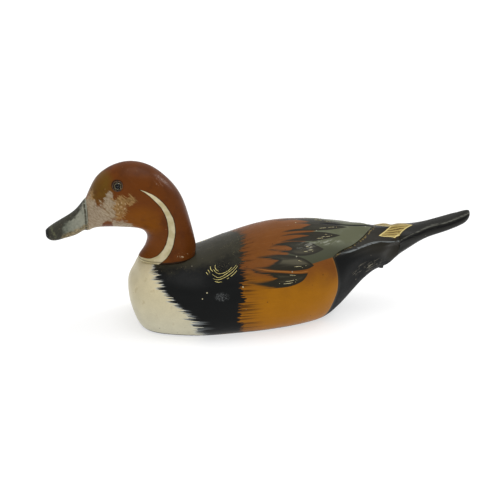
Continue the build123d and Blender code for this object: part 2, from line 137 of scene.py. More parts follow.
def srgb(red, green, blue):
    """A linear colour from 8-bit display values."""
    def linear(value):
        share = value / 255
        return share / 12.92 if share <= 0.04045 else ((share + 0.055) / 1.055) ** 2.4
    return (linear(red), linear(green), linear(blue))


class Surface:
    """One procedural material, with its place on the object in millimetres."""

    def __init__(self, name):
        self.material = bpy.data.materials.new(name)
        self.material.use_nodes = True
        self.tree = self.material.node_tree
        self.shader = self.tree.nodes["Principled BSDF"]
        place = self.node("TexCoord").outputs["Object"]
        split = self.node("SeparateXYZ")
        self.tree.links.new(place, split.inputs[0])
        self.x, self.y, self.z = (Num(self.tree, out) * 1000 for out in split.outputs)
        self.across = self.y.size()
        self.girth = (self.z - AXIS_Z_MM).do("ARCTAN2", self.across) * math.degrees(1)
        self.colour = (0.5, 0.5, 0.5)

    def node(self, kind):
        return self.tree.nodes.new("ShaderNode" + kind)

    def grain(self, scale, detail=2, seed=0, roughness=0.5, axes=None):
        """Noise from 0 to 1. The scale is in turns per millimetre along x, y and z, or per unit of
        the three axes given instead."""
        sizes = (scale,) * 3 if isinstance(scale, (int, float)) else scale
        join = self.node("CombineXYZ")
        for number, (value, turns) in enumerate(zip(axes or (self.x, self.y, self.z), sizes)):
            plug(self.tree, join.inputs[number], value * turns + seed * (number + 1.7))
        node = self.node("TexNoise")
        node.inputs["Scale"].default_value = 1
        node.inputs["Detail"].default_value = detail
        node.inputs["Roughness"].default_value = roughness
        self.tree.links.new(join.outputs[0], node.inputs["Vector"])
        return Num(self.tree, node.outputs["Fac"])

    def streaks(self, scale, slant, detail, seed):
        """Noise drawn out along a slanted direction in the x and z plane. The scale is in turns per
        millimetre along the streaks and across them, and the slant is z gained per x."""
        axes = (self.x + self.z * slant, self.y, self.z - self.x * slant)
        return self.grain((scale[0], scale[0], scale[1]), detail, seed, 0.65, axes)

    def bristles(self, scale, detail, seed):
        """Noise drawn out along the body, as a brush leaves it: the scale is in turns per degree."""
        return self.grain((0.012, scale, 0.01), detail, seed, 0.5, (self.x, self.girth, self.y))

    def spikes(self, scale, seed, sharpness=5):
        """Brush-tip teeth from 0 to 1, pointed where the noise crosses its middle."""
        return (1 - (self.bristles(scale, 1, seed) - 0.5).size() * sharpness).most(0)

    def specks(self, spacing_mm, share, seed):
        """Round specks, of which only a share of the cells has one."""
        node = self.node("TexVoronoi")
        node.inputs["Scale"].default_value = 1000 / spacing_mm
        place = self.node("TexCoord").outputs["Object"]
        shift = self.node("VectorMath")
        shift.inputs[1].default_value = (seed, seed * 0.37, seed * 0.71)
        self.tree.links.new(place, shift.inputs[0])
        self.tree.links.new(shift.outputs[0], node.inputs["Vector"])
        split = self.node("SeparateColor")
        self.tree.links.new(node.outputs["Color"], split.inputs[0])
        chosen = Num(self.tree, split.outputs[0]).ramp(1 - share, 1 - share + 0.01)
        near = Num(self.tree, node.outputs["Distance"]).ramp(0.14, 0.07)
        return chosen * near

    def over(self, colour, share):
        """Lays a colour over what is there, where share is 1."""
        self.colour = self.blend(self.colour, colour, share)

    def blend(self, first, second, share):
        """A colour between two others."""
        node = self.node("Mix")
        node.data_type = "RGBA"
        plug(self.tree, node.inputs[0], share)
        plug(self.tree, node.inputs[6], first)
        plug(self.tree, node.inputs[7], second)
        return node.outputs[2]

    def shade(self, factor):
        """Multiplies what is there by a number, for tone."""
        node = self.node("VectorMath")
        node.operation = "SCALE"
        plug(self.tree, node.inputs[0], self.colour)
        plug(self.tree, node.inputs["Scale"], factor)
        self.colour = node.outputs[0]

    def done(self, roughness, relief_mm=None, **shader_values):
        """Wires the colour, the roughness and a relief in millimetres to the shader."""
        plug(self.tree, self.shader.inputs["Base Color"], self.colour)
        plug(self.tree, self.shader.inputs["Roughness"], roughness)
        for name, value in shader_values.items():
            self.shader.inputs[name.replace("_", " ")].default_value = value
        if relief_mm is not None:
            bump = self.node("Bump")
            bump.inputs["Distance"].default_value = MM
            plug(self.tree, bump.inputs["Height"], relief_mm)
            self.tree.links.new(bump.outputs["Normal"], self.shader.inputs["Normal"])
        return self.material


def rubbed(field, texture, wander=1.5):
    """Soft-edged wear, 1 where the field is worn. The texture eats into its edges."""
    return (field + (texture - 0.5) * wander).ramp(0.12, 1)


def ragged(s, slant, wander_mm, seed):
    """The same surface with its place shifted about by streaky noise, so that a mark laid out on it
    comes out ragged and drawn along the slant, which is z gained per x."""
    shifted = copy.copy(s)
    along = (s.streaks((0.1, 0.6), slant, 4, seed) - 0.5) * (2.2 * wander_mm)
    about = (s.grain(0.16, 4, seed + 3) - 0.5) * (1.6 * wander_mm)
    shifted.x = s.x + along * 0.74 + about
    shifted.z = s.z + along * (0.74 * slant) + (s.grain(0.16, 4, seed + 8) - 0.5) * (1.6 * wander_mm)
    return shifted


# ---------------------------------------------------------------- paint colours
CREAM = srgb(203, 192, 158)
CREAM_LOW = srgb(192, 187, 164)
BLACK = srgb(21, 22, 22)
# the mantle's paler top: worn olive paint with a painted sheen on it
WORN_AND_SHEEN_BLACK = srgb(52, 50, 40)
RUST = srgb(112, 66, 27)
OCHRE = srgb(154, 99, 13)
GREY_WING = srgb(86, 88, 68)
# the wing's lower part, painted darker: a painted shade
GREY_WING_SHADED = srgb(66, 68, 52)
FEATHER = srgb(40, 38, 30)
CHESTNUT = srgb(100, 52, 14)
CHESTNUT_DARK = srgb(82, 43, 15)
THROAT = srgb(118, 66, 8)
OLIVE = srgb(98, 68, 20)
WORN_WHITE = srgb(150, 136, 112)
BARE_WOOD = srgb(146, 112, 72)
SLATE = srgb(56, 55, 47)
SLATE_WORN = srgb(132, 134, 116)
BAND_GOLD = srgb(160, 140, 82)
BAND_EDGE = srgb(206, 190, 128)
DARK_LINE = srgb(44, 30, 18)


# ---------------------------------------------------------------- plumage layout
# Boundaries round the body, as (girth, x).
BREAST_EDGE = [(-60, -70), (-38, -74), (-29, -77), (-17, -86), (-10, -94), (-3, -104), (6, -110),
               (14, -115), (30, -117), (46, -118), (70, -118), (90, -118)]
MANTLE_EDGE = [(-60, -31), (-36, -31), (-23, -34), (-10, -36), (1, -33.5), (11, -33), (21, -30.5),
               (33, -30), (50, -27), (78, -23), (90, -20)]
REAR_EDGE = [(-60, 52), (-43, 60), (-20, 66.5), (-6, 69.6), (8, 69.2), (23, 66.5), (33, 63.6),
             (39.3, 72.6), (47.1, 88.1), (59.1, 99.8), (72.1, 108.9), (90, 119)]
REAR_CORNER = 6                      # the point where the wing's edge starts
WING_LOW_GIRTH = 33
GREY_LEFT = [(20, 2), (30, 6), (38, 16), (45, 28), (52, 37), (60, 44), (70, 51), (80, 57), (90, 63)]
GREY_LOW = [(0, 34), (20, 31.5), (41, 27.4), (64, 33), (80, 33)]     # (x, girth)

# Each dark feather: its upper and lower edge, and the notch of ground colour that splits its
# front into two tapering strands. All are (x, girth), from the front to the tip.
FEATHERS = [
    {
        "top": [(14, 99), (34, 97), (60, 95), (74.5, 89.6), (80, 87.2), (89.3, 82.9), (94, 79)],
        "notch_top": [(14, 99), (21, 95), (34, 90.5), (42.3, 88.4), (50.3, 84.9), (56, 80)],
        "notch_low": [(14, 70), (21.7, 72.7), (34.8, 75.8), (43.6, 80.2), (50.3, 84.9), (56, 90)],
        "low": [(14, 72), (25.5, 70.2), (35.8, 70.3), (52, 70.3), (62.1, 71.6), (71.4, 74.3),
                (82.9, 79.3), (89.3, 82.9), (94, 87)],
    },
    {
        "top": [(8, 60), (14.4, 64), (19.8, 65.8), (29.6, 67.4), (38.2, 67.7), (51.5, 68.1),
                (61.2, 67.4), (69.5, 65.4), (78.1, 62.8), (83, 60)],
        "notch_top": [(8, 65), (14.9, 63.8), (19.5, 64), (26.3, 64.2), (34.6, 63.2), (43.4, 61.5),
                      (50, 59)],
        "notch_low": [(5, 51), (9.6, 52.9), (16.2, 55.7), (27.8, 58), (33.8, 59.5), (43.4, 61.5),
                      (50, 64)],
        "low": [(5, 53), (15, 53.4), (38.1, 52.6), (48.4, 52.8), (55.6, 54.3), (64.8, 56.7),
                (73, 59.8), (78.1, 62.8), (83, 66)],
    },
    {
        "top": [(-2, 48), (3.6, 51), (9, 52.6), (15.7, 53.4), (30, 53.2), (37.4, 52), (43.4, 50.6),
                (48.5, 47.6), (52.5, 44.8), (55.9, 42.3), (59, 39.4)],
        "notch_top": [(-2, 50.6), (3.6, 50), (7.4, 50), (13.8, 48.8), (19.1, 47.2), (22.5, 44.7),
                      (26, 42)],
        "notch_low": [(-6, 44), (-2, 46.2), (6, 45), (13.9, 43.5), (19.4, 42.9), (22.5, 44.7),
                      (26, 47)],
        "low": [(-6, 48), (-1.5, 45.8), (3.1, 44.2), (8.3, 42.7), (15, 40.4), (22.8, 37.4),
                (29.3, 35.8), (37.8, 36), (43.7, 37.1), (50.5, 39.5), (55.9, 42.3), (59, 45)],
    },
    {
        "top": [(-18, 37), (-14.1, 38.7), (-3.3, 39.2), (4.2, 39.2), (12.4, 38.4), (20.5, 37),
                (25.9, 35.6), (31.1, 33.7), (36.3, 30.8), (40.4, 27.8), (42.5, 25.8), (45, 22)],
        "notch_top": [(-18, 40), (-14.1, 38.5), (-8, 36.9), (-0.7, 34.8), (6.5, 32.6), (11, 31)],
        "notch_low": [(-22, 26), (-17.6, 27.8), (-11.2, 27.9), (-5.2, 28.6), (-0.6, 29.7),
                      (2.3, 30.8), (6.5, 32.6), (11, 36)],
        "low": [(-22, 30), (-17.6, 27.5), (-5.7, 24.8), (4.5, 23.6), (12.6, 22.9), (20.9, 22.2),
                (29.4, 22.4), (35.2, 23.1), (40, 24.6), (42.5, 25.8), (45, 28)],
    },
    {
        "top": [(-34, 28.6), (-24.5, 27.2), (-15.9, 24.8), (-5.9, 23.2), (1.6, 22), (12.5, 20.7),
                (23.5, 19.6), (29.1, 19.4), (35, 19.4), (38, 17)],
        "notch_top": [(-34, 30), (-24.5, 26.8), (-16.3, 22.6), (-8.5, 20), (-2.2, 18.3), (2, 16.7),
                      (6, 15)],
        "notch_low": [(-34, 14), (-28.7, 14.9), (-23.7, 15.2), (-15.7, 14.7), (-9.1, 15.1),
                      (-2.5, 15.7), (2, 16.7), (6, 18.6)],
        "low": [(-34, 15), (-25.5, 14), (-18.1, 12), (-11.7, 10.8), (-5.2, 9.8), (3.1, 8.9),
                (11.4, 8.9), (17.1, 9.5), (22.8, 10.7), (27.4, 12.2), (31.5, 14.9), (34, 17.5),
                (35.2, 19.5), (36.5, 23)],
    },
]
# The line of ground colour between the two lowest feathers, as (x, girth).
FEATHER_GAP = [(-24, 28.6), (-16, 26.4), (-6, 24.2), (4, 22.9), (13, 21.9), (21, 21), (29, 20.7), (36, 21.2)]


def feather_share(s, feather):
    """How much a feather covers, and how far inside it a point is in degrees of girth. Its front is
    dry-brushed: the edges wander and soften, and strands of the ground show through."""
    split_x = feather["notch_top"][-2][0]
    front = s.x.ramp(split_x + 10, split_x - 18)
    bristle = (s.bristles(0.35, 3, 3.1) - 0.5) * 5 + (s.bristles(1.1, 1, 5.2) - 0.5) * 3.5
    girth = s.girth + bristle * (front * 0.9 + 0.04)
    top = s.x.along(feather["top"]) - girth
    low = girth - s.x.along(feather["low"])
    notch = (girth - s.x.along(feather["notch_top"])).most(s.x.along(feather["notch_low"]) - girth)
    start = (s.x - feather["low"][0][0]) * 0.6 + (s.bristles(0.7, 2, 9.4) - 0.5) * 8
    strands = s.bristles(0.8, 2, 7.7).ramp(0.54, 0.66) * s.x.ramp(split_x + 6, split_x - 14)
    inside = top.least(low).least(notch).least(start) - strands * 2.2
    return inside.ramp(front * -1.2 - 0.2, front * 1.3 + 0.3), inside


# The ridges along the sides of the rump and of the tail's top, as (x, z).
RUMP_RIDGE = [(64, 77.6), (84, 79.2), (104, 80.4), (124, 79.8), (144, 77.8)]
TAIL_RIDGE = [(144, 77.5), (153.2, 82), (166.9, 84.8), (180.9, 88.3), (197.5, 91.4), (212, 95.6), (226, 99)]


# The striped band across the root of the tail, as (across, x) lines, and how its ends run.
BAND_FRONT = (138.6, -1.05)
BAND_REAR = (163, -1.19)
BAND_END_Y, BAND_END_SLOPE, BAND_END_X = 16.6, 0.33, 122.6
STRIPE_SPACING_MM = 4


def tail_band(s):
    """Lays the gold band with its dark stripes and pale outline over body and tail alike."""
    front = s.x - (s.across * BAND_FRONT[1] + BAND_FRONT[0])
    rear = (s.across * BAND_REAR[1] + BAND_REAR[0]) - s.x
    end = (s.x - BAND_END_X) * BAND_END_SLOPE + BAND_END_Y - s.across
    inside = (front * 0.7).least(rear * 0.68).least(end * 0.95).least(s.z - 79.5)
    inside = inside + (s.grain(0.9, 1, 4) - 0.5) * 0.5
    s.over(srgb(58, 44, 22), inside.ramp(-1.2, -0.2))
    s.over(BAND_EDGE, inside.ramp(-0.15, 0.15))
    s.over(BAND_GOLD, inside.ramp(0.8, 1.3))
    wander = (s.grain((0.16, 0.3, 0.3), 1, 6) - 0.5) * 2.4
    turn = (s.across + wander) * (2 * math.pi / STRIPE_SPACING_MM) + 2.2
    stripe = turn.wave().ramp(0.25, 0.85) * inside.ramp(1.3, 2.1)
    s.over(srgb(70, 53, 24), stripe * s.grain((0.3, 0.9, 0.9), 2, 2.2).ramp(0.22, 0.42))


def varnish(s, base, spread=0.22):
    """The roughness of old satin varnish: rubbed and smeared in places."""
    return s.grain(0.045, 3, 8) * spread + s.grain(0.8, 3, 5) * 0.16 + base


def brushed_relief(s, strength=0.035):
    """Brush drag along the piece, over the grain of the carved wood."""
    drag = s.grain((0.03, 1.1, 1.1), 2, 9) * strength
    return drag + s.grain(0.12, 2, 7) * 0.12 + s.grain(2.2, 2, 2) * 0.012


def brush_teeth(s, seed, reach_mm):
    """How far a dry-brushed edge wanders along x: thin pointed teeth both ways, and bristles."""
    out = s.spikes(0.4, seed, 5).power(1.6) * reach_mm
    back = s.spikes(0.46, seed + 6.6, 5).power(1.6) * reach_mm
    fine = (s.bristles(1.5, 2, seed + 3.1) - 0.5) * reach_mm * 1.2
    return out - back + fine


def spot(s, middle, radius_mm):
    """A small round mark at one place, 1 inside it."""
    x, y, z = s.x - middle[0], s.y - middle[1], s.z - middle[2]
    return (x * x + y * y + z * z).root().ramp(radius_mm, radius_mm * 0.55)


# Chips through the dark paint on the near side: (x, y, z) and radius.
CHIPS = [((-73.8, -63.9, 47.3), 0.8), ((-68.8, -61.7, 52.6), 0.9), ((-32.6, -65.9, 58.2), 0.9),
         ((35.5, 2.2, 97.8), 0.8), ((-29, -58, 66.5), 0.5), ((-95, -44, 64.5), 0.5)]


def painted_body():
    s = Surface("plumage_body")
    # cream breast, black mantle
    s.colour = s.blend(CREAM_LOW, CREAM, s.z.ramp(6, 56))
    s.shade(s.grain(0.06, 3, 1) * 0.16 + s.grain(1.2, 2, 6.6) * 0.08 + 0.88)
    s.over(srgb(150, 128, 88), s.grain(0.1, 3, 12).ramp(0.6, 0.74) * 0.3)
    teeth = brush_teeth(s, 1.3, 5.6) * (s.girth.ramp(-4, -18) * 0.3 + 1) * s.girth.ramp(52, 36).most(0.3)
    beyond = s.x - s.girth.along(BREAST_EDGE) - teeth
    # the top of the mantle is painted paler: worn paint and a painted sheen
    tone_share = (s.girth + (s.grain(0.06, 4, 40, 0.6) - 0.5) * 60).ramp(26, 56)
    mantle = s.blend(BLACK, WORN_AND_SHEEN_BLACK, tone_share)
    s.over(mantle, beyond.ramp(-0.5, 0.6))
    # the breast's bristle ends, thin and bluish over the black, longest by the waterline
    reach = s.girth.ramp(2, -20) * 10 + 2.6
    strand = s.bristles(1.2, 3, 6.1).ramp(0.42, 0.6) * (beyond / reach).ramp(1, 0)
    s.over(srgb(150, 155, 156), strand * beyond.ramp(-0.8, 0.2) * 0.8)
    s.over(srgb(180, 184, 180), beyond.ramp(-3, -0.4) * beyond.ramp(0.4, -0.4) * 0.7)
    dust = s.grain(1.1, 2, 41).ramp(0.6, 0.7) * s.grain(0.06, 2, 42).ramp(0.45, 0.65)
    dust = dust.most(s.specks(3.4, 0.14, 0.91))
    s.over(srgb(122, 115, 88), dust * s.girth.ramp(14, 38) * beyond.ramp(2, 8) * 0.7)
    # rust back and ochre flank
    tone_share = s.girth.ramp(34, -10) + (s.grain(0.05, 2, 3.3) - 0.5) * 0.6
    ground = s.blend(RUST, OCHRE, tone_share.ramp(0, 1))
    beyond = s.x - s.girth.along(MANTLE_EDGE) - brush_teeth(s, 21, 4.8)
    s.over(srgb(60, 36, 16), beyond.ramp(-1.4, 0.2) * 0.8)
    s.over(ground, beyond.ramp(-0.4, 0.8))
    s.over(srgb(118, 70, 26), beyond.ramp(-0.4, 1) * beyond.ramp(26, 6) * s.girth.ramp(34, 10) * 0.3)
    strand = s.bristles(0.9, 3, 14).ramp(0.47, 0.61) * beyond.ramp(s.girth.ramp(24, -10) * 12 + 13, 0)
    s.over(srgb(50, 31, 14), strand * beyond.ramp(-0.5, 1) * 0.9)
    s.shade(s.grain(0.07, 3, 15) * 0.24 + s.grain((0.25, 1, 1), 3, 16) * 0.16
            + s.grain(1.1, 3, 47) * 0.16 + 0.72)
    fade = s.grain((0.06, 0.4, 0.4), 3, 43).ramp(0.5, 0.75) * beyond.ramp(4, 12)
    s.over(srgb(126, 82, 44), fade * s.girth.ramp(20, 45) * 0.35)
    # grey wing, and the dark feathers over it
    grey = (s.x - s.girth.along(GREY_LEFT)).ramp(-3, 3)
    grey = grey * (s.girth - s.x.along(GREY_LOW, corners=(2, 3))).ramp(-0.4, 0.4)
    tone = s.blend(GREY_WING, srgb(98, 101, 84), s.grain(0.06, 3, 17).ramp(0.45, 0.7))
    # the grey wing darkens towards its lower edge: a painted shade
    s.over(s.blend(tone, GREY_WING_SHADED, s.girth.ramp(54, 40)), grey)
    for feather in FEATHERS:
        share, inside = feather_share(s, feather)
        s.over(FEATHER, share)
        lighter = inside.ramp(1.2, 4.6) * s.bristles(0.16, 3, 18).ramp(0.36, 0.62)
        s.over(s.blend(srgb(50, 48, 38), srgb(86, 82, 66), s.girth.ramp(44, 36)), lighter * 0.85)
    between = (s.girth - s.x.along(FEATHER_GAP)).size()
    s.over(srgb(140, 90, 42), between.ramp(0.7, 0.35) * s.x.ramp(-20, -8) * s.x.ramp(37, 33)
           * s.grain((0.05, 0.4, 0.4), 2, 44).ramp(0.35, 0.5))
    # black rump behind the wing's edge and the flank patch
    behind = s.x - (s.girth.along(REAR_EDGE, corners=(REAR_CORNER,)) + (s.grain(0.25, 2, 19) - 0.5) * 0.8)
    s.over(srgb(176, 132, 70), behind.ramp(-1.5, -0.7) * s.girth.ramp(34, 31) * 0.2)
    s.over(srgb(40, 38, 32), behind.ramp(-0.4, 0.3))
    s.over(BLACK, behind.ramp(0.5, 3) * s.girth.ramp(50, 30))
    s.over(BLACK, s.across.ramp(3, 1.6) * s.x.ramp(58, 66))
    gold = behind.ramp(0.4, 1.2) * behind.ramp(4.6, 2.6) * s.girth.ramp(31, 35)
    s.over(srgb(120, 104, 64), gold * s.grain(0.4, 3, 20).ramp(0.46, 0.6) * 0.9)
    tail_band(s)
    # wear: rubbed scuffs, chips and specks, with painted highlights on the wing's shoulder and the rump's
    # ridge
    scuff_and_sheen = s.streaks((0.12, 0.7), 0.12, 4, 23).ramp(0.46, 0.64)
    s.over(srgb(168, 168, 156), patch(s, (37, 40, 87), (12, 8, 5)) * scuff_and_sheen * 0.45)
    s.over(srgb(160, 162, 148), patch(s, (60, 36, 89), (24, 8, 3)) * scuff_and_sheen * 0.5)
    scratch = s.streaks((0.1, 1.1), 0.35, 3, 45).ramp(0.55, 0.62)
    scratch = scratch * s.grain(0.22, 3, 46.5).ramp(0.4, 0.54)
    scratch = scratch.most(s.specks(3.2, 0.3, 0.52))
    s.over(srgb(138, 133, 116), patch(s, (108, 24, 53), (32, 24, 9.5)) * scratch * 0.8)
    # a pale line along the crest of the rump's ridge: a painted highlight, broken up like a rubbed edge
    above = s.z - s.x.along(RUMP_RIDGE)
    edge = (above - 0.6).size().ramp(0.8, 0.2) * s.x.ramp(66, 84) * s.x.ramp(146, 140)
    edge = edge * behind.ramp(1, 4)
    s.over(srgb(122, 127, 128), edge * (s.grain((0.1, 0.8, 0.8), 3, 46).ramp(0.34, 0.6) * 0.7 + 0.05))
    smudge = patch(s, (-54, 66, 49), (9, 9, 5)) * s.grain(0.9, 3, 24).ramp(0.46, 0.66)
    s.over(srgb(92, 94, 94), smudge * 0.85)
    for middle, radius in CHIPS:
        s.over(srgb(196, 186, 150), spot(s, middle, radius) * 0.9)
    s.over(srgb(176, 170, 150), s.specks(7, 0.1, 0.31) * 0.6)
    s.over(srgb(30, 22, 14), s.specks(6, 0.14, 0.77) * 0.7)
    s.over(BLACK, (s.z - s.grain(0.15, 2, 30) * 1.4).ramp(1.4, 0.9))
    chine = (s.z - s.grain(0.22, 3, 31) * 3).ramp(1.6, 0.9) * s.z.ramp(0.05, 0.3)
    rubbed_through = s.grain(0.05, 2, 33).ramp(0.46, 0.62) * s.grain(0.5, 3, 32).ramp(0.46, 0.66)
    s.over(BARE_WOOD, chine * rubbed_through * 0.7)
    dull = behind.ramp(0, 6) * s.girth.ramp(44, 30)
    return s.done(varnish(s, 0.16) + dull * 0.25, brushed_relief(s), Specular_IOR_Level=0.06)


def patch(s, middle, reach):
    """A soft-edged region about a point on either flank, 1 at its middle."""
    x = (s.x - middle[0]) / reach[0]
    y = (s.across - middle[1]) / reach[1]
    z = (s.z - middle[2]) / reach[2]
    return (x * x + y * y + z * z).ramp(1, 0.2)


def patches(s, marks):
    """Several patches as one, each with its own strength."""
    whole = None
    for middle, reach, strength in marks:
        part = patch(s, middle, reach) * strength
        whole = whole.most(part) if whole else part
    return whole


EYE_X_MM, EYE_Z_MM = -152.2, 158.6    # the middle of the eye
NECK_SEAM_MM = 71.6                    # the paint line just above the neck's joint
# Head, as (z, x) on its flank: the pale crescent's two edges.
CRESCENT_OUTER = [(66, -122), (71, -112), (80.8, -101.9), (94.2, -96.6), (111.7, -95.4),
                  (128.3, -101), (143.5, -112.2), (151, -123), (154.3, -130.4), (157, -140)]
CRESCENT_INNER = [(66, -150), (73.7, -140), (74.6, -126), (76.2, -118.5), (82.4, -109.9),
                  (96.3, -103.1), (110.8, -102.1), (127.5, -106.1), (143.4, -117.2),
                  (151, -125.2), (154.3, -130), (157, -132)]


def worn_face(s):
    """The face where bill and hands have rubbed the chestnut down to tan and pale primer."""
    fine = s.streaks((0.24, 0.6), -0.9, 5, 3)
    texture = fine * 0.55 + s.streaks((0.08, 0.17), -0.9, 4, 9) * 0.45
    torn = ragged(s, -0.9, 9, 27)
    tan = patches(torn, [((-147, 26, 144), (16, 19, 7), 1.05), ((-157, 22, 135), (16, 22, 17), 0.85),
                         ((-181, 14, 143), (8, 18, 16), 0.9)])
    tone = s.blend(srgb(116, 88, 50), srgb(156, 124, 78), texture.ramp(0.4, 0.58))
    s.over(tone, rubbed(tan, texture) * 0.85)
    pale = patches(torn, [((-178, 13, 123), (14, 24, 28), 1.1), ((-167, 17, 124), (13, 22, 20), 1),
                          ((-162, 23, 144), (8, 16, 11), 0.95), ((-160, 21, 129), (8, 18, 12), 0.85),
                          ((-152, 14, 114), (18, 26, 10), 1.05)])
    pale = pale - patch(torn, (-172, 18, 151), (11, 18, 11)) - patch(s, (-163, 14, 111), (7, 24, 13)) * 1.3
    share = rubbed(pale, texture)
    tone = s.blend(srgb(128, 112, 88), srgb(172, 160, 140), fine.ramp(0.34, 0.66))
    s.over(s.blend(tone, WORN_WHITE, 0.3), share * 0.84)
    s.over(srgb(114, 88, 56), share * s.streaks((0.16, 0.7), -0.9, 4, 21).ramp(0.54, 0.72) * 0.6)
    drips = patch(torn, (-151, 24, 136), (8, 20, 12)) * s.grain((0.45, 0.45, 0.3), 3, 17).ramp(0.6, 0.68)
    s.over(srgb(184, 156, 118), drips * 0.85)
    edge = s.grain(0.5, 4, 19, 0.65).ramp(0.46, 0.6) * s.z.ramp(115, 109) * s.x.ramp(-165, -171)
    s.over(srgb(178, 160, 118), edge * 0.7)


def painted_head():
    s = Surface("plumage_head")
    s.colour = CHESTNUT
    nape = s.x - s.z.along([(70, -92), (100, -92), (130, -104), (155, -122), (176, -132)])
    s.over(CHESTNUT_DARK, nape.ramp(-2, 24))
    s.over(THROAT, patch(s, (-132, 22, 116), (30, 26, 26)) * 0.9)
    s.over(srgb(114, 64, 18), s.z.ramp(108, 84) * s.x.ramp(-98, -110) * 0.5)
    s.over(CHESTNUT_DARK, s.z.ramp(152, 176) * s.x.ramp(-156, -146) * 0.55)
    s.over(OLIVE, patch(s, (-169, 10, 155), (19, 28, 22)) * (s.grain(0.12, 3, 14) + 0.4).least(1))
    s.over(srgb(70, 34, 14), s.grain(0.07, 3, 12).ramp(0.48, 0.72) * 0.45)
    s.shade(s.grain(0.05, 3, 1) * 0.26 + s.streaks((0.1, 0.5), -0.6, 3, 2) * 0.22 + 0.76)
    worn_face(s)
    # the pale crescent, outlined, running into the breast
    edge = (s.grain(0.3, 2, 4) - 0.5) * 0.5
    height = s.z + s.across.ramp(12, 3) * s.x.ramp(-120, -130) * 0.8
    outer = s.z.along(CRESCENT_OUTER) - s.x + edge
    inner = s.x - height.along(CRESCENT_INNER) + edge
    inside = outer.least(inner) * 0.85
    s.over(DARK_LINE, inside.ramp(-1.2, -0.3) * 0.85)
    cream = s.blend(srgb(184, 172, 132), CREAM, s.grain(0.12, 3, 18).ramp(0.35, 0.6))
    s.over(cream, inside.ramp(-0.25, 0.25))
    s.over(srgb(132, 100, 56), inside.ramp(-0.2, 0.2) * s.specks(6, 0.12, 0.13))
    s.over(srgb(84, 74, 58), (s.z - NECK_SEAM_MM - 0.8).size().ramp(0.8, 0.3) * inside.ramp(-0.2, 0.2) * 0.6)
    # specks, small chips, and a rubbed patch with a painted highlight on the back of the head
    s.over(srgb(150, 112, 74), s.specks(6, 0.1, 0.53) * 0.6)
    chips = patch(s, (-88, 20, 78), (8, 9, 4)) * s.grain((0.9, 0.9, 0.5), 2, 6).ramp(0.6, 0.68)
    s.over(srgb(205, 185, 150), chips)
    # the back of the head: rubbed paint, paler, that also stands in for a highlight there
    rub_and_highlight = patch(s, (-107, 14, 160), (12, 13, 12)) * s.grain((0.5, 0.5, 0.25), 3, 7).ramp(0.55, 0.75)
    s.over(srgb(138, 108, 90), rub_and_highlight * 0.6)
    s.over(DARK_LINE, (s.z - NECK_SEAM_MM - s.grain(0.2, 2, 9)).ramp(0.6, -0.4) * inside.ramp(0, -1))
    ahead, above = s.x - EYE_X_MM, s.z - EYE_Z_MM
    rim = ahead.power(2) + above.power(2) * 1.15
    shadow = (above - ahead * 0.8).ramp(-3, 2.5)
    s.over(srgb(46, 24, 10), rim.root().ramp(6.6, 5.2) * s.across.ramp(14, 18) * (shadow * 0.75 + 0.2))
    return s.done(varnish(s, 0.16), brushed_relief(s, 0.02), Specular_IOR_Level=0.07)


def painted_bill():
    s = Surface("slate_bill")
    s.colour = SLATE
    low = s.x.along([(-226, 102), (-212, 99), (-203, 100.5), (-182.6, 105.4)])
    high = s.x.along([(-226, 108), (-219, 112), (-212, 116.2), (-203, 121.4), (-193, 128.6), (-182, 140)])
    height = (s.z - low) / (high - low)
    texture = s.grain(0.26, 5, 2, 0.65)
    worn_top = [(-211, 0.62), (-206, 0.84), (-198, 0.82), (-191, 0.9), (-186, 1.02), (-183, 1.1)]
    top_edge = s.x.along(worn_top)
    worn = height.ramp(top_edge + 0.16, top_edge - 0.16) * s.x.ramp(-213, -202) * 1.1
    paler = (texture * 0.6 + s.x.ramp(-212, -188) * 0.4).ramp(0.3, 0.75)
    tone = s.blend(srgb(104, 108, 96), srgb(144, 144, 129), paler)
    s.over(tone, rubbed(worn, texture, 1.7) * 0.95)
    mottle = s.grain((0.3, 0.5, 0.5), 4, 13, 0.65)
    s.over(srgb(74, 76, 64), mottle.ramp(0.54, 0.7) * 0.5)
    under = height.ramp(0.5, 0.26) * s.x.ramp(-213, -206)
    s.over(srgb(84, 74, 46), rubbed(under * 0.95, s.grain(0.3, 5, 14, 0.65)) * 0.85)
    s.over(srgb(172, 154, 120), rubbed(under * 0.5, s.grain(0.5, 4, 4, 0.65), 2.2) * 0.85)
    s.over(srgb(38, 38, 32), height.ramp(0.12, 0.02) * 0.85)
    s.over(srgb(22, 23, 22), s.x.ramp(-220.5, -224))
    nail = (s.x + 217.5 + (s.z - 108) * 0.45).size().ramp(1.9, 0.9) * s.z.ramp(102, 104)
    s.over(srgb(92, 94, 72), nail * s.grain(0.5, 3, 6).ramp(0.32, 0.6) * 0.7)
    seam = s.x + s.z.along([(105, 184.4), (121, 184.6), (132, 185), (140, 185.6)])
    gap = seam.size().ramp(1.5, 0.5) * s.grain((0.2, 0.2, 0.6), 3, 7).ramp(0.36, 0.52)
    s.over(srgb(48, 46, 32), gap * 0.85)
    s.shade(s.grain(0.4, 3, 8) * 0.3 + 0.85)
    return s.done(varnish(s, 0.26), brushed_relief(s, 0.04), Specular_IOR_Level=0.09)


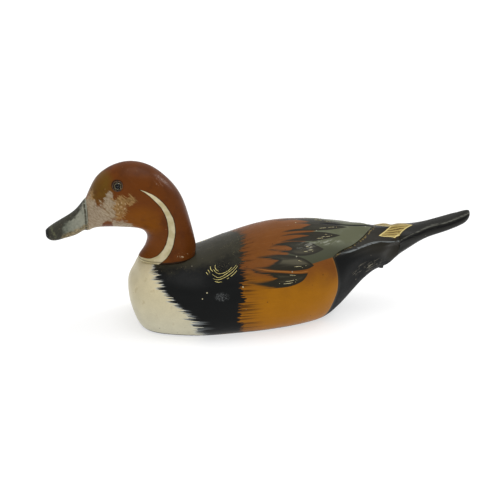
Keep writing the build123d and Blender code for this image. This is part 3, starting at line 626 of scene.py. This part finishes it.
def painted_tail():
    s = Surface("black_tail")
    s.colour = srgb(35, 35, 32)
    s.shade(s.grain((0.03, 0.5, 0.5), 3, 1) * 0.4 + 0.8)
    above = s.z - s.x.along(TAIL_RIDGE)
    # a painted shade in the groove just below the tail's ridge
    s.over(srgb(17, 17, 17), above.ramp(-0.6, -1.4) * above.ramp(-4.6, -2.4))
    # a pale line along the tail's ridge: a painted highlight, broken up like rubbed paint
    rub_and_highlight = s.grain((0.1, 0.9, 0.9), 3, 2).ramp(0.38, 0.58) * (above - 0.3).size().ramp(0.7, 0.2)
    s.over(srgb(116, 116, 106), rub_and_highlight * 0.55)
    rub_and_highlight = s.grain((0.12, 0.8, 0.8), 3, 2.6).ramp(0.58, 0.7)
    s.over(srgb(70, 70, 62), rub_and_highlight * 0.25)
    s.over(srgb(150, 146, 126), s.specks(6, 0.1, 0.6) * 0.6)
    tail_band(s)
    return s.done(varnish(s, 0.16), brushed_relief(s, 0.03), Specular_IOR_Level=0.09)


# ---------------------------------------------------------------- bare materials
def bare_wood():
    """Cedar or dowel stock: rings and pores along x."""
    s = Surface("bare_wood")
    rings = (s.grain((0.01, 0.1, 0.1), 2, 1) * 14 + s.z * 0.35).wave() * 0.5 + 0.5
    s.colour = s.blend(srgb(168, 128, 80), srgb(128, 88, 50), rings)
    s.shade(s.grain((0.06, 1.6, 1.6), 3, 2) * 0.35 + 0.8)
    return s.done(rings * 0.15 + 0.55, s.grain((0.06, 1.8, 1.8), 2, 3) * 0.08)


def painted_board():
    """The bottom's black paint, scuffed through to primer and wood where it is dragged."""
    s = Surface("painted_bottom")
    s.colour = srgb(42, 42, 38)
    s.shade(s.grain(0.05, 3, 1) * 0.6 + 0.7)
    drag = s.grain((0.02, 0.5, 0.5), 3, 2)
    s.over(srgb(92, 88, 76), drag.ramp(0.55, 0.68) * s.grain(0.3, 3, 3).ramp(0.42, 0.6) * 0.8)
    s.over(BARE_WOOD, drag.ramp(0.62, 0.7) * s.grain(0.12, 4, 4).ramp(0.52, 0.6))
    s.over(srgb(20, 19, 18), s.specks(6, 0.15, 0.4) * 0.7)
    return s.done(s.grain(0.1, 3, 5) * 0.25 + 0.38, brushed_relief(s, 0.06))


def cast_lead():
    s = Surface("cast_lead")
    s.colour = s.blend(srgb(118, 120, 124), srgb(164, 166, 168), s.grain(0.08, 4, 1).ramp(0.35, 0.7))
    s.over(srgb(196, 196, 190), s.grain(0.5, 4, 2, 0.7).ramp(0.6, 0.74) * 0.6)
    dents = s.grain(0.16, 3, 3) * 0.35 + s.grain(0.9, 2, 4) * 0.06
    return s.done(s.grain(0.2, 3, 5) * 0.3 + 0.42, dents, Metallic=0.55)


def metal(name, bright, dull, tarnish, roughness, share):
    """A metal with tarnish or rust in a share of it."""
    s = Surface(name)
    s.colour = s.blend(dull, bright, s.grain(0.5, 3, 1).ramp(0.35, 0.65))
    spots = s.grain(0.6, 4, 2, 0.65).ramp(0.62 - share * 0.3, 0.7 - share * 0.2)
    s.over(tarnish, spots)
    s.done(spots * 0.35 + roughness, s.grain(1.8, 3, 3) * 0.05)
    plug(s.tree, s.shader.inputs["Metallic"], spots * -0.7 + 0.95)
    return s.material


def clear_glass():
    s = Surface("clear_glass")
    s.colour = (0.93, 0.94, 0.92)
    s.shade(s.grain(0.6, 2, 1) * 0.06 + 0.95)
    return s.done(s.grain(1.5, 2, 2) * 0.05 + 0.03, Transmission_Weight=1, IOR=1.33)


def eye_paint():
    """The fired enamel on the back of a glass eye: a tan iris, mottled."""
    s = Surface("eye_iris")
    s.colour = s.blend(srgb(96, 84, 58), srgb(128, 116, 88), s.grain(1.2, 3, 1).ramp(0.35, 0.65))
    return s.done(s.grain(1, 2, 2) * 0.1 + 0.5, Specular_IOR_Level=0.1)


def black_enamel():
    s = Surface("eye_pupil_black")
    s.colour = srgb(10, 10, 12)
    s.shade(s.grain(2, 2, 1) * 0.4 + 0.8)
    return s.done(s.grain(1, 2, 2) * 0.08 + 0.5, Specular_IOR_Level=0.05)


def setting_putty():
    s = Surface("eye_putty")
    s.colour = s.blend(srgb(50, 28, 12), srgb(98, 66, 34), s.grain(0.6, 3, 1).ramp(0.4, 0.7))
    return s.done(s.grain(1, 2, 2) * 0.2 + 0.5, s.grain(0.9, 3, 3) * 0.12)


def pin_paint():
    """Black paint with rust coming through, on the nail's head."""
    s = Surface("painted_pin")
    s.colour = srgb(30, 30, 29)
    s.over(srgb(96, 66, 42), s.grain(0.8, 3, 1).ramp(0.55, 0.7) * 0.7)
    return s.done(s.grain(0.8, 2, 2) * 0.2 + 0.4, s.grain(1.5, 3, 3) * 0.05)


def line_paint(name, low, high, dirt, scale):
    """Thick paint laid on in strokes, dirty in spots."""
    s = Surface(name)
    s.colour = s.blend(low, high, s.grain(scale, 3, 1).ramp(0.35, 0.6))
    s.over(dirt, s.grain(scale + 0.15, 3, 2).ramp(0.58, 0.72) * 0.5)
    return s.done(s.grain(0.8, 2, 3) * 0.2 + 0.35)


# ---------------------------------------------------------------- pieces and carving
def link(name, data):
    """A new object in the scene, holding a mesh, a light or a camera."""
    piece = bpy.data.objects.new(name, data)
    bpy.context.scene.collection.objects.link(piece)
    return piece


def built(name, work):
    """A new object from a bmesh, which is used up."""
    mesh = bpy.data.meshes.new(name)
    work.to_mesh(mesh)
    work.free()
    return link(name, mesh)


def show(piece, material, node=None):
    """A piece rides on the decoy, in place of a CAD node if one is named."""
    piece.data.materials.clear()
    piece.data.materials.append(material)
    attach(piece, "decoy")
    if node:
        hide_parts(node)


def final_mesh(piece):
    """The mesh of a piece with its modifiers applied."""
    graph = bpy.context.evaluated_depsgraph_get()
    return bpy.data.meshes.new_from_object(piece.evaluated_get(graph), depsgraph=graph)


def positions(mesh, attribute="co"):
    """Every vertex's place, or its normal, as rows of an array."""
    flat = np.empty(len(mesh.vertices) * 3)
    mesh.vertices.foreach_get(attribute, flat)
    return flat.reshape(-1, 3)


def place(mesh, points):
    mesh.vertices.foreach_set("co", points.ravel())
    mesh.update()


def skin(name, node, voxel_mm, neighbour=None, cut=None):
    """An even, dense copy of a CAD node's surface, to carve. Where the node is glued and faired
    to a neighbour, both are meshed as one and cut apart at the joint, given as a point and the
    direction away from the node, so that the painted surface runs on across it."""
    work = bmesh.new()
    for source in (node, neighbour) if neighbour else (node,):
        work.from_mesh(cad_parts[source].data)
    bmesh.ops.remove_doubles(work, verts=work.verts, dist=1e-5)
    tree = BVHTree.FromBMesh(work)
    piece = built(name, work)
    remesh = piece.modifiers.new("even", "REMESH")
    remesh.mode = "VOXEL"
    remesh.voxel_size = voxel_mm * MM
    piece.data = final_mesh(piece)
    piece.modifiers.clear()
    points = positions(piece.data)
    for number, point in enumerate(points):
        points[number] = tree.find_nearest(Vector(point))[0]
    place(piece.data, points)
    if cut:
        part_at(piece, *cut)
    return piece


def part_at(piece, point, away):
    """Cuts a piece flat at a plane, closes the cut, and drops loose bubbles inside it."""
    work = bmesh.new()
    work.from_mesh(piece.data)
    everything = work.verts[:] + work.edges[:] + work.faces[:]
    cut = bmesh.ops.bisect_plane(work, geom=everything, dist=1e-6, plane_co=point, plane_no=away,
                                 clear_outer=True)
    rim = [item for item in cut["geom_cut"] if isinstance(item, bmesh.types.BMEdge) and item.is_boundary]
    bmesh.ops.holes_fill(work, edges=rim, sides=0)
    bmesh.ops.triangulate(work, faces=[face for face in work.faces if len(face.verts) > 4])
    unseen = set(work.verts)
    islands = []
    while unseen:
        island = [unseen.pop()]
        for vert in island:
            near = {other for edge in vert.link_edges for other in edge.verts} & unseen
            unseen -= near
            island.extend(near)
        islands.append(island)
    islands.sort(key=len)
    bmesh.ops.delete(work, geom=[vert for island in islands[:-1] for vert in island], context="VERTS")
    work.to_mesh(piece.data)
    work.free()


def refine(piece, near, rounds=1):
    """Subdivides the faces whose middles the test picks out, for a crisp cut there."""
    for _ in range(rounds):
        work = bmesh.new()
        work.from_mesh(piece.data)
        chosen = [face for face in work.faces if near(face.calc_center_median() * 1000)]
        edges = {edge for face in chosen for edge in face.edges}
        bmesh.ops.subdivide_edges(work, edges=list(edges), cuts=1, use_grid_fill=True)
        bmesh.ops.triangulate(work, faces=[face for face in work.faces if len(face.verts) > 4])
        work.to_mesh(piece.data)
        work.free()


def rise(values, low, high):
    """A smooth step from 0 at low to 1 at high."""
    t = np.clip((values - low) / (high - low), 0, 1)
    return t * t * (3 - 2 * t)


def bump(values, middle, width):
    """A rounded rise to 1 at the middle, which dies away over the width."""
    return np.exp(-((values - middle) / width) ** 2)


def surface(piece):
    """A piece's points in millimetres, and the directions that point out of it."""
    return positions(piece.data) * 1000, positions(piece.data, "normal")


def curve_table(points, corners=()):
    """The same curve that Num.along draws, as a function of an array."""
    scratch = bpy.data.node_groups.new("curve_scratch", "ShaderNodeTree")
    mapping = scratch.nodes.new("ShaderNodeFloatCurve").mapping
    low, high, floor, span = set_curve(mapping, points, corners)
    samples = np.linspace(0, 1, 257)
    heights = np.array([mapping.evaluate(mapping.curves[0], t) for t in samples]) * span + floor
    bpy.data.node_groups.remove(scratch)
    return lambda values: np.interp(values, low + samples * (high - low), heights)


def tool_marks(points_mm, strength_mm, length_mm):
    """The faint unevenness that a spokeshave and sandpaper leave."""
    return strength_mm * np.array([noise.noise(Vector(point / length_mm)) for point in points_mm])


# The glued joints: the tail's root, and the plane through the bill's root, from the CAD nodes.
TAIL_JOINT = Vector((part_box("body")[1].x, 0, 0.07))
bill_low, bill_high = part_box("bill")
BILL_JOINT = Vector((bill_high.x, 0, (bill_low.z + bill_high.z) / 2))
BILL_AWAY = Vector((-1, 0, -0.0175)).normalized()

rear_edge = curve_table(REAR_EDGE, corners=(REAR_CORNER,))
tail_ridge = curve_table(TAIL_RIDGE)
rump_ridge = curve_table(RUMP_RIDGE)


def behind_wing(points_mm):
    """How far each point lies behind the wing's trailing edge, along x."""
    girth = np.degrees(np.arctan2(points_mm[:, 2] - AXIS_Z_MM, np.abs(points_mm[:, 1])))
    return points_mm[:, 0] - rear_edge(girth), girth


def tail_root_rise(points_mm, outward):
    """How much the top is raised at the tail's root, on the body and the tail alike."""
    return 0.8 * bump(points_mm[:, 0], 150, 12) * rise(outward[:, 2], 0.5, 0.8)


def at_wing_edge(middle):
    """Whether a place in millimetres is by the wing's rear edge or on the rump's ridge."""
    if middle.z < 74 or middle.x < 58:
        return False
    behind, girth = behind_wing(np.array([middle]))
    on_ridge = behind[0] > 0 and middle.x > 70 and abs(middle.z - rump_ridge(middle.x)) < 3.5
    return on_ridge or (girth[0] > WING_LOW_GIRTH - 3 and -2.5 < behind[0] < 4.5)


def carve_body():
    piece = skin("body_skin", "body", 1.3, "tail", cut=(TAIL_JOINT, Vector((1, 0, 0))))
    refine(piece, at_wing_edge, rounds=2)
    points, outward = surface(piece)
    x, y, z = points.T
    behind, girth = behind_wing(points)
    wing = rise(girth, WING_LOW_GIRTH, WING_LOW_GIRTH + 6) * rise(z, 72, 76)
    step = -1.3 * rise(behind, -0.2, 1) * (1 - rise(behind, 3, 26)) * (1 - 0.6 * rise(girth, 58, 74))
    crevice = -0.5 * bump(behind, 0.9, 0.7)
    lip = 0.1 * bump(np.minimum(behind, 0), 0, 4) * (behind < 0)
    parting = -0.7 * bump(y, 0, 1.3) * rise(x, 60, 72) * (1 - rise(behind, -6, 0)) * (z > 80)
    cut = wing * (step + crevice + lip) + parting
    # the back is raised before the tail, and the rump's side ridge drawn up crisp over a scoop
    cut = cut + 1.3 * bump(x, 111, 11) * rise(girth, 55, 75) + tail_root_rise(points, outward)
    above = z - rump_ridge(x)
    scoop = bump(above, -6, 3.2) * (1 - rise(x, 136, 144) * 0.4)
    cut = cut + rise(x, 70, 90) * rise(behind, 2, 8) * (0.85 * bump(above, 0, 1.2) - scoop)
    # the breast is eased where it meets the neck
    cut = cut - 1.5 * bump(x, -137, 8) * bump(z, 58, 9)
    cut = cut + (z > 0.6) * (tool_marks(points, 0.14, 24) + tool_marks(points, 0.05, 8))
    cut = cut * (outward[:, 0] < 0.9)
    points = points + outward * cut[:, None]
    # the neck's seat is closed up to a hairline
    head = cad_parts["head"].data
    head = BVHTree.FromPolygons([v.co * 1000 for v in head.vertices],
                                [tuple(p.vertices) for p in head.polygons])
    for number in np.nonzero((points[:, 2] > 69.6) & (points[:, 0] < -62))[0]:
        point = Vector(points[number])
        near, _, _, distance = head.find_nearest(point)
        if 0.35 < distance < 8:
            pull = min(distance - 0.22, 1.15) * (1 - float(rise(np.array(distance), 1.6, 8)))
            points[number] = point + (near - point).normalized() * pull
    place(piece.data, points * MM)
    return piece


def at_bill_joint(points, outward, cut, side):
    """The cut, eased off towards the bill's joint, where a groove runs round both pieces. The side
    is 1 on the bill and -1 on the head."""
    joint = (points - np.array(BILL_JOINT) * 1000) @ np.array(BILL_AWAY)
    cut = cut * rise(side * joint, 0, 3) - 0.3 * bump(joint, 0, 0.8)
    return cut * (np.abs(outward @ np.array(BILL_AWAY)) < 0.9)


def carve_head():
    piece = skin("head_skin", "head", 0.95, "bill", cut=(BILL_JOINT, BILL_AWAY))
    points, outward = surface(piece)
    x, _, z = points.T
    cut = tool_marks(points, 0.1, 18) + tool_marks(points, 0.04, 6)
    for side in ("left", "right"):
        middle, axis, _, _ = round_frame("eye_glass_" + side)
        offset = points - np.array(middle * 1000)
        along = offset @ np.array(axis)
        radius = np.sqrt(np.maximum((offset ** 2).sum(1) - along ** 2, 0))
        cut = cut - 0.35 * bump(radius, 6, 0.9) * (np.abs(along) < 8)
    cut = cut + 1.3 * bump(z, 73, 6.5) * rise(-x, 112, 124)
    cut = cut + 1.3 * bump(z, 158, 14) * rise(-x, 150, 174)
    cut = at_bill_joint(points, outward, cut, -1) * (z > 70.3)
    place(piece.data, (points + outward * cut[:, None]) * MM)
    return piece


def carve_bill():
    piece = skin("bill_skin", "bill", 0.6, "head", cut=(BILL_JOINT, -BILL_AWAY))
    points, outward = surface(piece)
    cut = at_bill_joint(points, outward, tool_marks(points, 0.1, 9), 1)
    place(piece.data, (points + outward * cut[:, None]) * MM)
    return piece


def carve_tail():
    piece = skin("tail_skin", "tail", 0.8, "body", cut=(TAIL_JOINT, Vector((-1, 0, 0))))
    points, outward = surface(piece)
    x, _, z = points.T
    above = z - tail_ridge(x)
    along = rise(x, 144, 150) * (1 - rise(x, 206, 218))
    cut = along * (0.45 * bump(above, 0, 0.9) - 0.8 * bump(above, -2.2, 1.1))
    cut = cut + tool_marks(points, 0.14, 24) + tool_marks(points, 0.05, 8)
    side = (1 - rise(above, -5, -2)) * rise(above, -16, -9) * (1 - rise(x, 144, 168))
    cut = (cut - side + tail_root_rise(points, outward)) * (outward[:, 0] > -0.9)
    place(piece.data, (points + outward * cut[:, None]) * MM)
    return piece


# ---------------------------------------------------------------- eyes
GLASS_SHARE = 0.9                  # the glass dome's radius, as a share of its seat's
IRIS_DEPTH = 0.9 * MM               # how far the painted back stands inside the glass
PUPIL_RADIUS = 2.45 * MM


def round_frame(node):
    """A turned node's middle, its axis pointing outward, its half height and its radius."""
    points = positions(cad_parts[node].data)
    low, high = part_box(node)
    middle = (low + high) / 2
    spread = np.linalg.svd(points - points.mean(0), full_matrices=False)[2]
    axis = Vector(spread[2] if "wire" not in node else spread[0])
    if axis.y * middle.y < 0:
        axis = -axis
    along = (points - np.array(middle)) @ np.array(axis)
    flat = points - np.array(middle) - along[:, None] * np.array(axis)
    centre = middle + axis * float((along.max() + along.min()) / 2)
    return centre, axis, float(along.max() - along.min()) / 2, float(np.linalg.norm(flat, axis=1).max())


def turned(name, profile, centre, axis, sides=64):
    """A closed solid of revolution from (radius, height) points, on an axis."""
    turn = axis.to_track_quat("Z", "Y")
    work = bmesh.new()
    rings = []
    for radius, height in profile:
        if radius == 0:
            rings.append([work.verts.new(centre + turn @ Vector((0, 0, height)))])
        else:
            angles = [2 * math.pi * step / sides for step in range(sides)]
            rings.append([
                work.verts.new(centre + turn @ Vector((radius * math.cos(a), radius * math.sin(a), height)))
                for a in angles
            ])
    for lower, upper in zip(rings, rings[1:]):
        for step in range(sides):
            after = (step + 1) % sides
            corners = [lower[step % len(lower)], lower[after % len(lower)],
                       upper[after % len(upper)], upper[step % len(upper)]]
            work.faces.new(list(dict.fromkeys(corners)))
    bmesh.ops.recalc_face_normals(work, faces=work.faces)
    for face in work.faces:
        face.smooth = True
    return built(name, work)


def glass_eye(side, glass, iris):
    """A domed glass eye over its enamelled back."""
    centre, axis, half, seat_radius = round_frame("eye_glass_" + side)
    radius = seat_radius * GLASS_SHARE
    dome = [(radius * math.sin(t), half * (2 * math.cos(t) - 1)) for t in np.linspace(0, math.pi / 2, 14)]
    back = -half - 0.1 * MM
    profile = [(0, dome[0][1])] + dome[1:] + [(radius, back), (0, back)]
    show(turned("glass_eye_" + side, profile, centre, axis), glass, "eye_glass_" + side)
    face = -half + IRIS_DEPTH
    disc = turned("iris_" + side, [(0, face), (radius * 0.96, face), (radius * 0.96, face - 0.5 * MM),
                                   (0, face - 0.5 * MM)], centre, axis)
    show(disc, iris)
    dark = [(0, face + 0.5 * MM), (PUPIL_RADIUS * 0.7, face + 0.4 * MM), (PUPIL_RADIUS, face + 0.1 * MM),
            (PUPIL_RADIUS, face - 0.2 * MM), (0, face - 0.2 * MM)]
    show(turned("pupil_" + side, dark, centre, axis), black_enamel(), "eye_pupil_" + side)


# ---------------------------------------------------------------- raised lines of paint
def on_skin(tree, x_mm, girth, side):
    """The point and normal of a skin at a place in the plumage layout. The side is -1 for left."""
    turn = math.radians(girth)
    away = Vector((0, side * math.cos(turn), math.sin(turn)))
    start = Vector((x_mm, 0, AXIS_Z_MM)) * MM + away * 0.2
    return tree.ray_cast(start, -away)[:2]


def smooth_path(corners, steps=6):
    """Points along a smooth curve through the corners."""
    ends = [corners[0], *corners, corners[-1]]
    path = []
    for a, b, c, d in zip(ends, ends[1:], ends[2:], ends[3:]):
        for step in range(steps):
            t = step / steps
            path.append(tuple(
                q + 0.5 * t * (r - p + t * (2 * p - 5 * q + 4 * r - s + t * (3 * (q - r) + s - p)))
                for p, q, r, s in zip(a, b, c, d)
            ))
    path.append(tuple(float(value) for value in corners[-1]))
    return path


def paint_line(work, tree, corners, side, half_width_mm):
    """One brush stroke: a closed ribbon that stands proud of the skin, thin at both ends."""
    spots = [on_skin(tree, x, girth, side) for x, girth in smooth_path(corners)]
    rings = []
    for number, (point, normal) in enumerate(spots):
        before, after = spots[max(number - 1, 0)][0], spots[min(number + 1, len(spots) - 1)][0]
        across = normal.cross(after - before).normalized()
        share = number / (len(spots) - 1)
        half = half_width_mm * MM * (0.35 + 0.65 * math.sin(math.pi * min(max(share, 0.04), 0.96)) ** 0.6)
        rings.append([
            work.verts.new(point + across * half * reach + normal * lift * MM)
            for reach, lift in ((-1, -0.3), (-0.85, 0.12), (0, 0.2), (0.85, 0.12), (1, -0.3))
        ])
    for lower, upper in zip(rings, rings[1:]):
        for step in range(5):
            work.faces.new((lower[step], lower[(step + 1) % 5], upper[(step + 1) % 5], upper[step]))
    work.faces.new(rings[0])
    work.faces.new(reversed(rings[-1]))


def paint_lines(name, lines, tree, half_width_mm, material):
    """The same strokes on both sides of the bird, as one piece."""
    work = bmesh.new()
    for side in (-1, 1):
        for corners in lines:
            paint_line(work, tree, corners, side, half_width_mm)
    bmesh.ops.recalc_face_normals(work, faces=work.faces)
    piece = built(name, work)
    show(piece, material)


# Gold strokes on the shoulder, and fine flecks at the feathers' tips, as (x, girth).
GOLD_STROKES = [
    [(-55.9, 37), (-56.9, 33.5), (-56, 29.5), (-54.1, 27.2)],
    [(-58.7, 30.6), (-57.3, 27), (-55.4, 24.9), (-52.6, 24.4), (-48.6, 25.2), (-44.6, 27.3), (-40.7, 30.6)],
    [(-61.2, 35.7), (-61.3, 31), (-60, 27.8)],
    [(-61, 24.6), (-58.4, 21.8), (-56.7, 20.6), (-53.9, 20.6), (-49.3, 22.6), (-44.7, 25.4), (-39.9, 28.7),
     (-35.7, 32.9)],
    [(-64.2, 30.8), (-63, 26.2)],
    [(-61, 19.8), (-58.1, 18.5), (-54.2, 18.6), (-49.7, 20.1), (-45.2, 22.4), (-40.4, 25.6), (-34.9, 31.1)],
    [(-66.6, 27.8), (-65.1, 24.2)],
    [(-47.7, 18.6), (-45.3, 19.8)],
    [(-43.7, 20.9), (-41, 22.4), (-36.3, 26.4)],
    [(-59.8, 16.9), (-56.3, 16), (-52.9, 16.4)],
]
FLECKS = [
    [(57.7, 75.7), (65.4, 77.7)], [(68, 78.7), (74.8, 80.8)], [(77.3, 81.8), (77.5, 79.8)],
    [(50.9, 56.6), (57.9, 56.7)], [(55.8, 58), (60.2, 59.5)], [(61, 63.5), (63.5, 62.9)],
    [(60.6, 58.9), (66.2, 60.4)], [(67.6, 61.2), (68.3, 61.5)],
    [(34, 40.2), (38, 40.3)], [(37.4, 46), (40.2, 45.5)], [(39.4, 41.5), (44, 41.9)],
    [(41.2, 44.8), (43.2, 45.1)], [(43, 40), (43.8, 40.2)],
    [(26.6, 31.6), (30, 30.1)], [(21.4, 25.8), (28.8, 25.9)], [(29.2, 25.2), (30, 24.4)],
    [(33.4, 26), (34.1, 26.1)],
    [(15.8, 18.9), (22.2, 18.2)], [(11.2, 13.8), (15.1, 13.8), (19.9, 14.3)],
    [(8.8, 11.9), (14.4, 11.9), (18.6, 12.4)], [(21.6, 14.9), (22.4, 14.4)], [(21.2, 12.9), (21.7, 12.4)],
    [(4.2, 12.2), (4.9, 12.4)],
]


# ---------------------------------------------------------------- assembly
body_skin = carve_body()
for piece, material, node in (
    (body_skin, painted_body(), "body"),
    (carve_head(), painted_head(), "head"),
    (carve_bill(), painted_bill(), "bill"),
    (carve_tail(), painted_tail(), "tail"),
):
    for polygon in piece.data.polygons:
        polygon.use_smooth = True
    show(piece, material, node)

glass, iris = clear_glass(), eye_paint()
for side in ("left", "right"):
    glass_eye(side, glass, iris)

painted_skin = BVHTree.FromObject(body_skin, bpy.context.evaluated_depsgraph_get())
paint_lines("gold_strokes", GOLD_STROKES, painted_skin, 0.34,
            line_paint("gold_line_paint", srgb(168, 152, 84), srgb(222, 208, 128), srgb(92, 86, 54), 0.35))
paint_lines("feather_flecks", FLECKS, painted_skin, 0.25,
            line_paint("fleck_paint", srgb(146, 132, 84), srgb(206, 196, 152), srgb(82, 76, 56), 0.4))

brass = metal("brass_screws", srgb(190, 152, 82), srgb(128, 96, 50), srgb(62, 58, 40), 0.3, 0.4)
steel = metal("steel_hardware", srgb(150, 150, 148), srgb(96, 96, 94), srgb(92, 58, 36), 0.35, 0.3)
iron = metal("iron_tie", srgb(118, 112, 106), srgb(72, 66, 60), srgb(108, 62, 34), 0.45, 0.8)
wood, putty = bare_wood(), setting_putty()
FINISHES = {
    "bottom_board": painted_board(), "ballast_weight": cast_lead(), "line_tie_staple": iron,
    "line_tie_ring": iron, "ballast_screws": brass, "bottom_board_screws": brass,
    "neck_screw": steel, "neck_screw_washer": steel, "tail_pin": pin_paint(), "bill_dowel": wood,
    "neck_dowels": wood, "eye_putty_left": putty, "eye_putty_right": putty,
    "eye_wire_left": steel, "eye_wire_right": steel,
}


for node, finish in FINISHES.items():
    for material_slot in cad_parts[node].material_slots:
        material_slot.material = finish


# ---------------------------------------------------------------- floor, light and camera
def studio_floor():
    """A pale floor disc that fades into a pale backdrop."""
    work = bmesh.new()
    bmesh.ops.create_circle(work, cap_ends=True, segments=96, radius=9.0)
    floor = built("floor", work)
    floor.location.z = -0.0002
    s = Surface("pale_floor")
    s.colour = (0.46, 0.46, 0.46)
    s.shade(s.grain(0.002, 2, 1) * 0.02 + 0.99)
    floor.data.materials.append(s.done(s.grain(0.01, 2, 2) * 0.1 + 0.75, Specular_IOR_Level=0.1,
                                       Emission_Color=(1, 1, 1, 1), Emission_Strength=0.6))


def lamp(name, kind, power, toward, middle=(0, 0, 0)):
    """A light of one kind, shining from the direction that toward points in."""
    data = bpy.data.lights.new(name, kind)
    data.energy = power
    piece = link(name, data)
    piece.location = middle
    piece.rotation_euler = toward.to_track_quat("Z", "Y").to_euler()
    return data


def area_light(name, middle, aim, size, power):
    data = lamp(name, "AREA", power, Vector(middle) - Vector(aim), middle)
    data.shape = "RECTANGLE"
    data.size, data.size_y = size


studio_floor()
lamp("key_sun", "SUN", 1.6, Vector((0.3, 0.03, 0.95))).angle = math.radians(50)
area_light("rim_right", (1.3, 0.7, 0.9), (0, 0, 0.08), (0.3, 0.3), 6)
area_light("fill_front", (-0.7, -1.7, 0.9), (0, 0, 0.05), (1.8, 1.4), 3.6)

world = bpy.data.worlds.new("pale_studio")
bpy.context.scene.world = world
world.use_nodes = True
background = world.node_tree.nodes["Background"]
background.inputs["Color"].default_value = (1, 1, 1, 1)
background.inputs["Strength"].default_value = 0.6

CAMERA_AZIMUTH, CAMERA_HEIGHT, CAMERA_DISTANCE = math.radians(-10), math.radians(22), 1.4
CAMERA_TARGET = Vector((-0.0138, 0, 0.071))
camera = link("camera", bpy.data.cameras.new("camera"))
camera.data.lens = 95.6
camera.data.sensor_width = 36
outward = Vector((
    math.sin(CAMERA_AZIMUTH) * math.cos(CAMERA_HEIGHT),
    -math.cos(CAMERA_AZIMUTH) * math.cos(CAMERA_HEIGHT),
    math.sin(CAMERA_HEIGHT),
))
camera.location = CAMERA_TARGET + outward * CAMERA_DISTANCE
camera.rotation_euler = (-outward).to_track_quat("-Z", "Y").to_euler()
bpy.context.scene.camera = camera
bpy.context.scene.view_settings.view_transform = "Standard"
